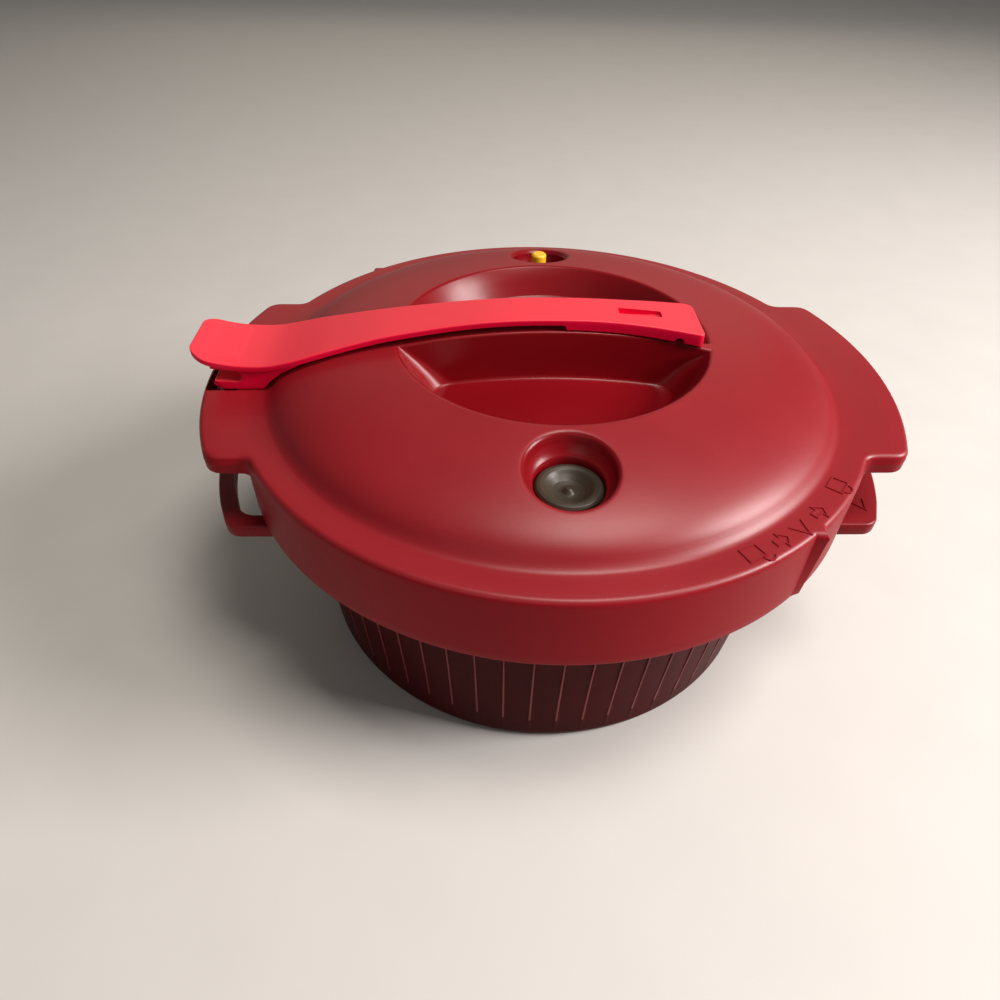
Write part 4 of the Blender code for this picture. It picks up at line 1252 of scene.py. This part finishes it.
def lever_section(x):
    """The lever's cut at x, seen from its right end: underside, back edge, top, front edge."""
    near_left, near_right = x - LEVER_LEFT, LEVER_RIGHT - x
    wide = through(HALF_WIDTH, x)
    front = wide - round_end(near_left, 7.5 * MM) - round_end(near_right, 2.2 * MM)
    back = wide - round_end(near_left, 6.0 * MM) - round_end(near_right, 4.5 * MM)
    soft = round_end(min(near_left, near_right), LEVER_EDGE)
    low, high = lever_underside(x) + soft, through(CREST, x) - soft
    patch = smooth((x + 136.2 * MM) / (0.9 * MM)) * smooth((-120.5 * MM - x) / (0.9 * MM))
    small = 0.3 * MM
    points = [Vector((x, y, low)) for y in spread(-front + small, back - small, 8)]
    points += [Vector((x, back, low + small)), Vector((x, back, (low + high) / 2))]
    quarter = [radians(a) for a in spread(0, 90, 4)]
    edge = [(LEVER_EDGE * (1 - cos(a)), LEVER_EDGE * (1 - sin(a))) for a in quarter]
    points += [Vector((x, back - inset, high - drop)) for inset, drop in edge]
    for y in spread(back - LEVER_EDGE, -front + LEVER_EDGE, 30)[1:-1]:
        inside = min(back - y, front + y) - LEVER_EDGE
        raised = 0.3 * MM * patch * smooth((inside - 2.0 * MM) / (0.9 * MM))
        points.append(Vector((x, y, high + raised)))
    points += [Vector((x, -front + inset, high - drop)) for inset, drop in reversed(edge)]
    points += [Vector((x, -front, (low + high) / 2)), Vector((x, -front, low + small))]
    return points


def lever_blade():
    stations = [LEVER_LEFT + d * MM for d in (0.02, 0.08, 0.2, 0.4, 0.65, 1.0, 1.5, 2.1, 2.8, 3.6, 4.5)]
    stations += spread(-134.2 * MM, -119 * MM, 30)
    stations += spread(-118 * MM, 3.6 * MM, 86)
    stations += [4.4 * MM] + spread(5.5 * MM, 51.8 * MM, 34)
    stations += [LEVER_RIGHT - d * MM for d in (4.4, 3.6, 2.8, 2.1, 1.5, 1.0, 0.65, 0.4, 0.2, 0.08, 0.02)]
    return tube("lever_arm", [lever_section(x) for x in stations], [LEVER_PLASTIC], 40)


def pivot_block():
    """The block under the paddle, with a hollow for a fingertip, as wide as the arm above it."""
    side = rounded([(x * MM, z * MM, r * MM) for x, z, r in (
        (-112.3, 113.5, 2.2), (-127.4, 113.5, 2.5), (-132, 116.0, 1.2), (-130.6, 117.0, 0.5),
        (-119.8, 116.4, 2.4), (-119.8, 121.1, 2.2), (-131, 122.4, 0.3), (-131, 124.4, 0), (-120, 123.0, 0),
        (-108, 123.3, 0), (-97, 126.0, 0), (-97.5, 123.9, 0), (-104.5, 120.6, 4), (-109.8, 116.4, 3),
    )], 6)
    rows = [[Vector((p[0], y, p[1])) for p in side] for y in (-15.5 * MM, 15.5 * MM)]
    made = tube("pivot_block", rows, [LEVER_PLASTIC])
    round_edges(made, 0.6 * MM, 3, 50)
    return made


def make_lever():
    lever = lever_blade()
    parts = [pivot_block()]
    top = PIN_Z + 3.6 * MM
    for y0, y1 in ((-12.2 * MM, -6 * MM), (6 * MM, 12.2 * MM)):
        parts.append(rod_along_y("knuckle", PIN_X, PIN_Z, 3.2 * MM, y0, y1, [LEVER_PLASTIC], 64, 0.4 * MM))
        parts.append(block((PIN_X - 1 * MM, y0 + 0.3 * MM, PIN_Z), (PIN_X + 3.1 * MM, y1 - 0.3 * MM, top),
                           materials=[LEVER_PLASTIC]))
    add(lever, *parts)
    slot = extruded("lever_slot", rounded([
        (x * MM, y * MM, 0.5 * MM) for x, y in ((25, -2.3), (42, -2.3), (42, 2.3), (25, 2.3))
    ]), 136.6 * MM, 143 * MM, [LEVER_PLASTIC])
    arch = rod_along_y("snap_notch", 47.5 * MM, lever_underside(47.5 * MM), 2.0 * MM, -16 * MM, -8.5 * MM,
                       [LEVER_PLASTIC])
    bore = rod_along_y("bore", PIN_X, PIN_Z, 1.5 * MM, -15 * MM, 15 * MM, [LEVER_PLASTIC])
    mouth = block((PIN_X - 5 * MM, -15 * MM, PIN_Z - 0.7 * MM),
                  (PIN_X, 15 * MM, PIN_Z + 1.3 * MM), 0.2 * MM)
    cut(lever, bore, mouth, slot, arch)
    placed(lever, "lever", "lever_plastic", "lever")

    pin_r = (pin_high.z - pin_low.z) / 2
    pin = rod_along_y("hinge_pin", PIN_X, PIN_Z, pin_r, pin_low.y, pin_high.y, [STEEL], 48, 0.3 * MM)
    placed(pin, body_of(bpy.data.objects["lever_pin"])[0], "steel", "lever_pin")
    bolt = block(*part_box("lock_bolt"), 0.5 * MM, [LEVER_PLASTIC])
    bolt.name = "locking_bolt"
    placed(bolt, "lock_bolt", "lever_plastic", "lock_bolt")


# ---------------------------------------------------------------- stage

CAMERA_LENS = 26
CAMERA_PLACE = (-0.02919, -0.25467, 0.27136)
CAMERA_LOOK = (0.029768, 0.741162, -0.67067)
CAMERA_ROLL = 1.42
FLOOR_HALF = 3.0


def make_stage():
    skin = Skin()
    skin.rows([[Vector((x, y, 0)) for x in (-FLOOR_HALF, FLOOR_HALF)] for y in (-FLOOR_HALF, FLOOR_HALF)])
    floor = skin.finish("floor", [plastic("floor_paint", (0.66, 0.65, 0.62), 0.6, grain=1.5, relief=0.01,
                                          mottle=0.015)])

    world = bpy.data.worlds.new("studio")
    bpy.context.scene.world = world
    world.use_nodes = True
    sky = world.node_tree.nodes["Background"]
    sky.inputs["Color"].default_value = (1.0, 0.97, 0.93, 1)
    sky.inputs["Strength"].default_value = 0.11


def softbox(name, place, aim, size, power, colour):
    data = bpy.data.lights.new(name, "AREA")
    data.shape = "RECTANGLE"
    data.size, data.size_y = size
    data.energy = power
    data.color = colour
    lamp = bpy.data.objects.new(name, data)
    lamp.location = place
    lamp.rotation_mode = "QUATERNION"
    lamp.rotation_quaternion = (Vector(aim) - Vector(place)).to_track_quat("-Z", "Y")
    bpy.context.scene.collection.objects.link(lamp)


def make_lights():
    lid = (0, 0, 0.11)
    softbox("ceiling_light", (0.26, -0.16, 1.25), lid, (0.45, 0.45), 8.5, (1.0, 0.92, 0.85))
    softbox("window", (1.15, -0.25, 0.80), lid, (0.5, 0.6), 24, (1.0, 0.92, 0.9))
    softbox("front_fill", (-0.5, -1.5, 0.9), lid, (1.0, 0.8), 1.5, (1.0, 0.96, 0.93))
    softbox("back_wall", (0.1, 1.4, 0.7), lid, (1.8, 0.8), 2, (1.0, 0.86, 0.68))


def make_camera():
    """The viewpoint: above the front edge, a hand's width left of the middle, with a wide lens."""
    data = bpy.data.cameras.new("camera")
    data.sensor_width = 36
    data.lens = CAMERA_LENS
    camera = bpy.data.objects.new("camera", data)
    look = Vector(CAMERA_LOOK).normalized()
    level = Vector((look.y, -look.x, 0)).normalized()
    roll = Matrix.Rotation(radians(CAMERA_ROLL), 3, look)
    right = roll.inverted() @ level
    rise = right.cross(look)
    turn = Matrix((right, rise, -look)).transposed()
    camera.matrix_world = Matrix.Translation(CAMERA_PLACE) @ turn.to_4x4()
    bpy.context.scene.collection.objects.link(camera)
    bpy.context.scene.camera = camera
    bpy.context.scene.view_settings.view_transform = "Standard"


make_stage()
make_lights()
make_camera()
make_cover()
make_lid_marks()
make_bowl()
make_gasket()
make_safety_plug()
make_regulator()
make_regulator_spring()
make_steam_guard()
make_indicator()
make_lever()
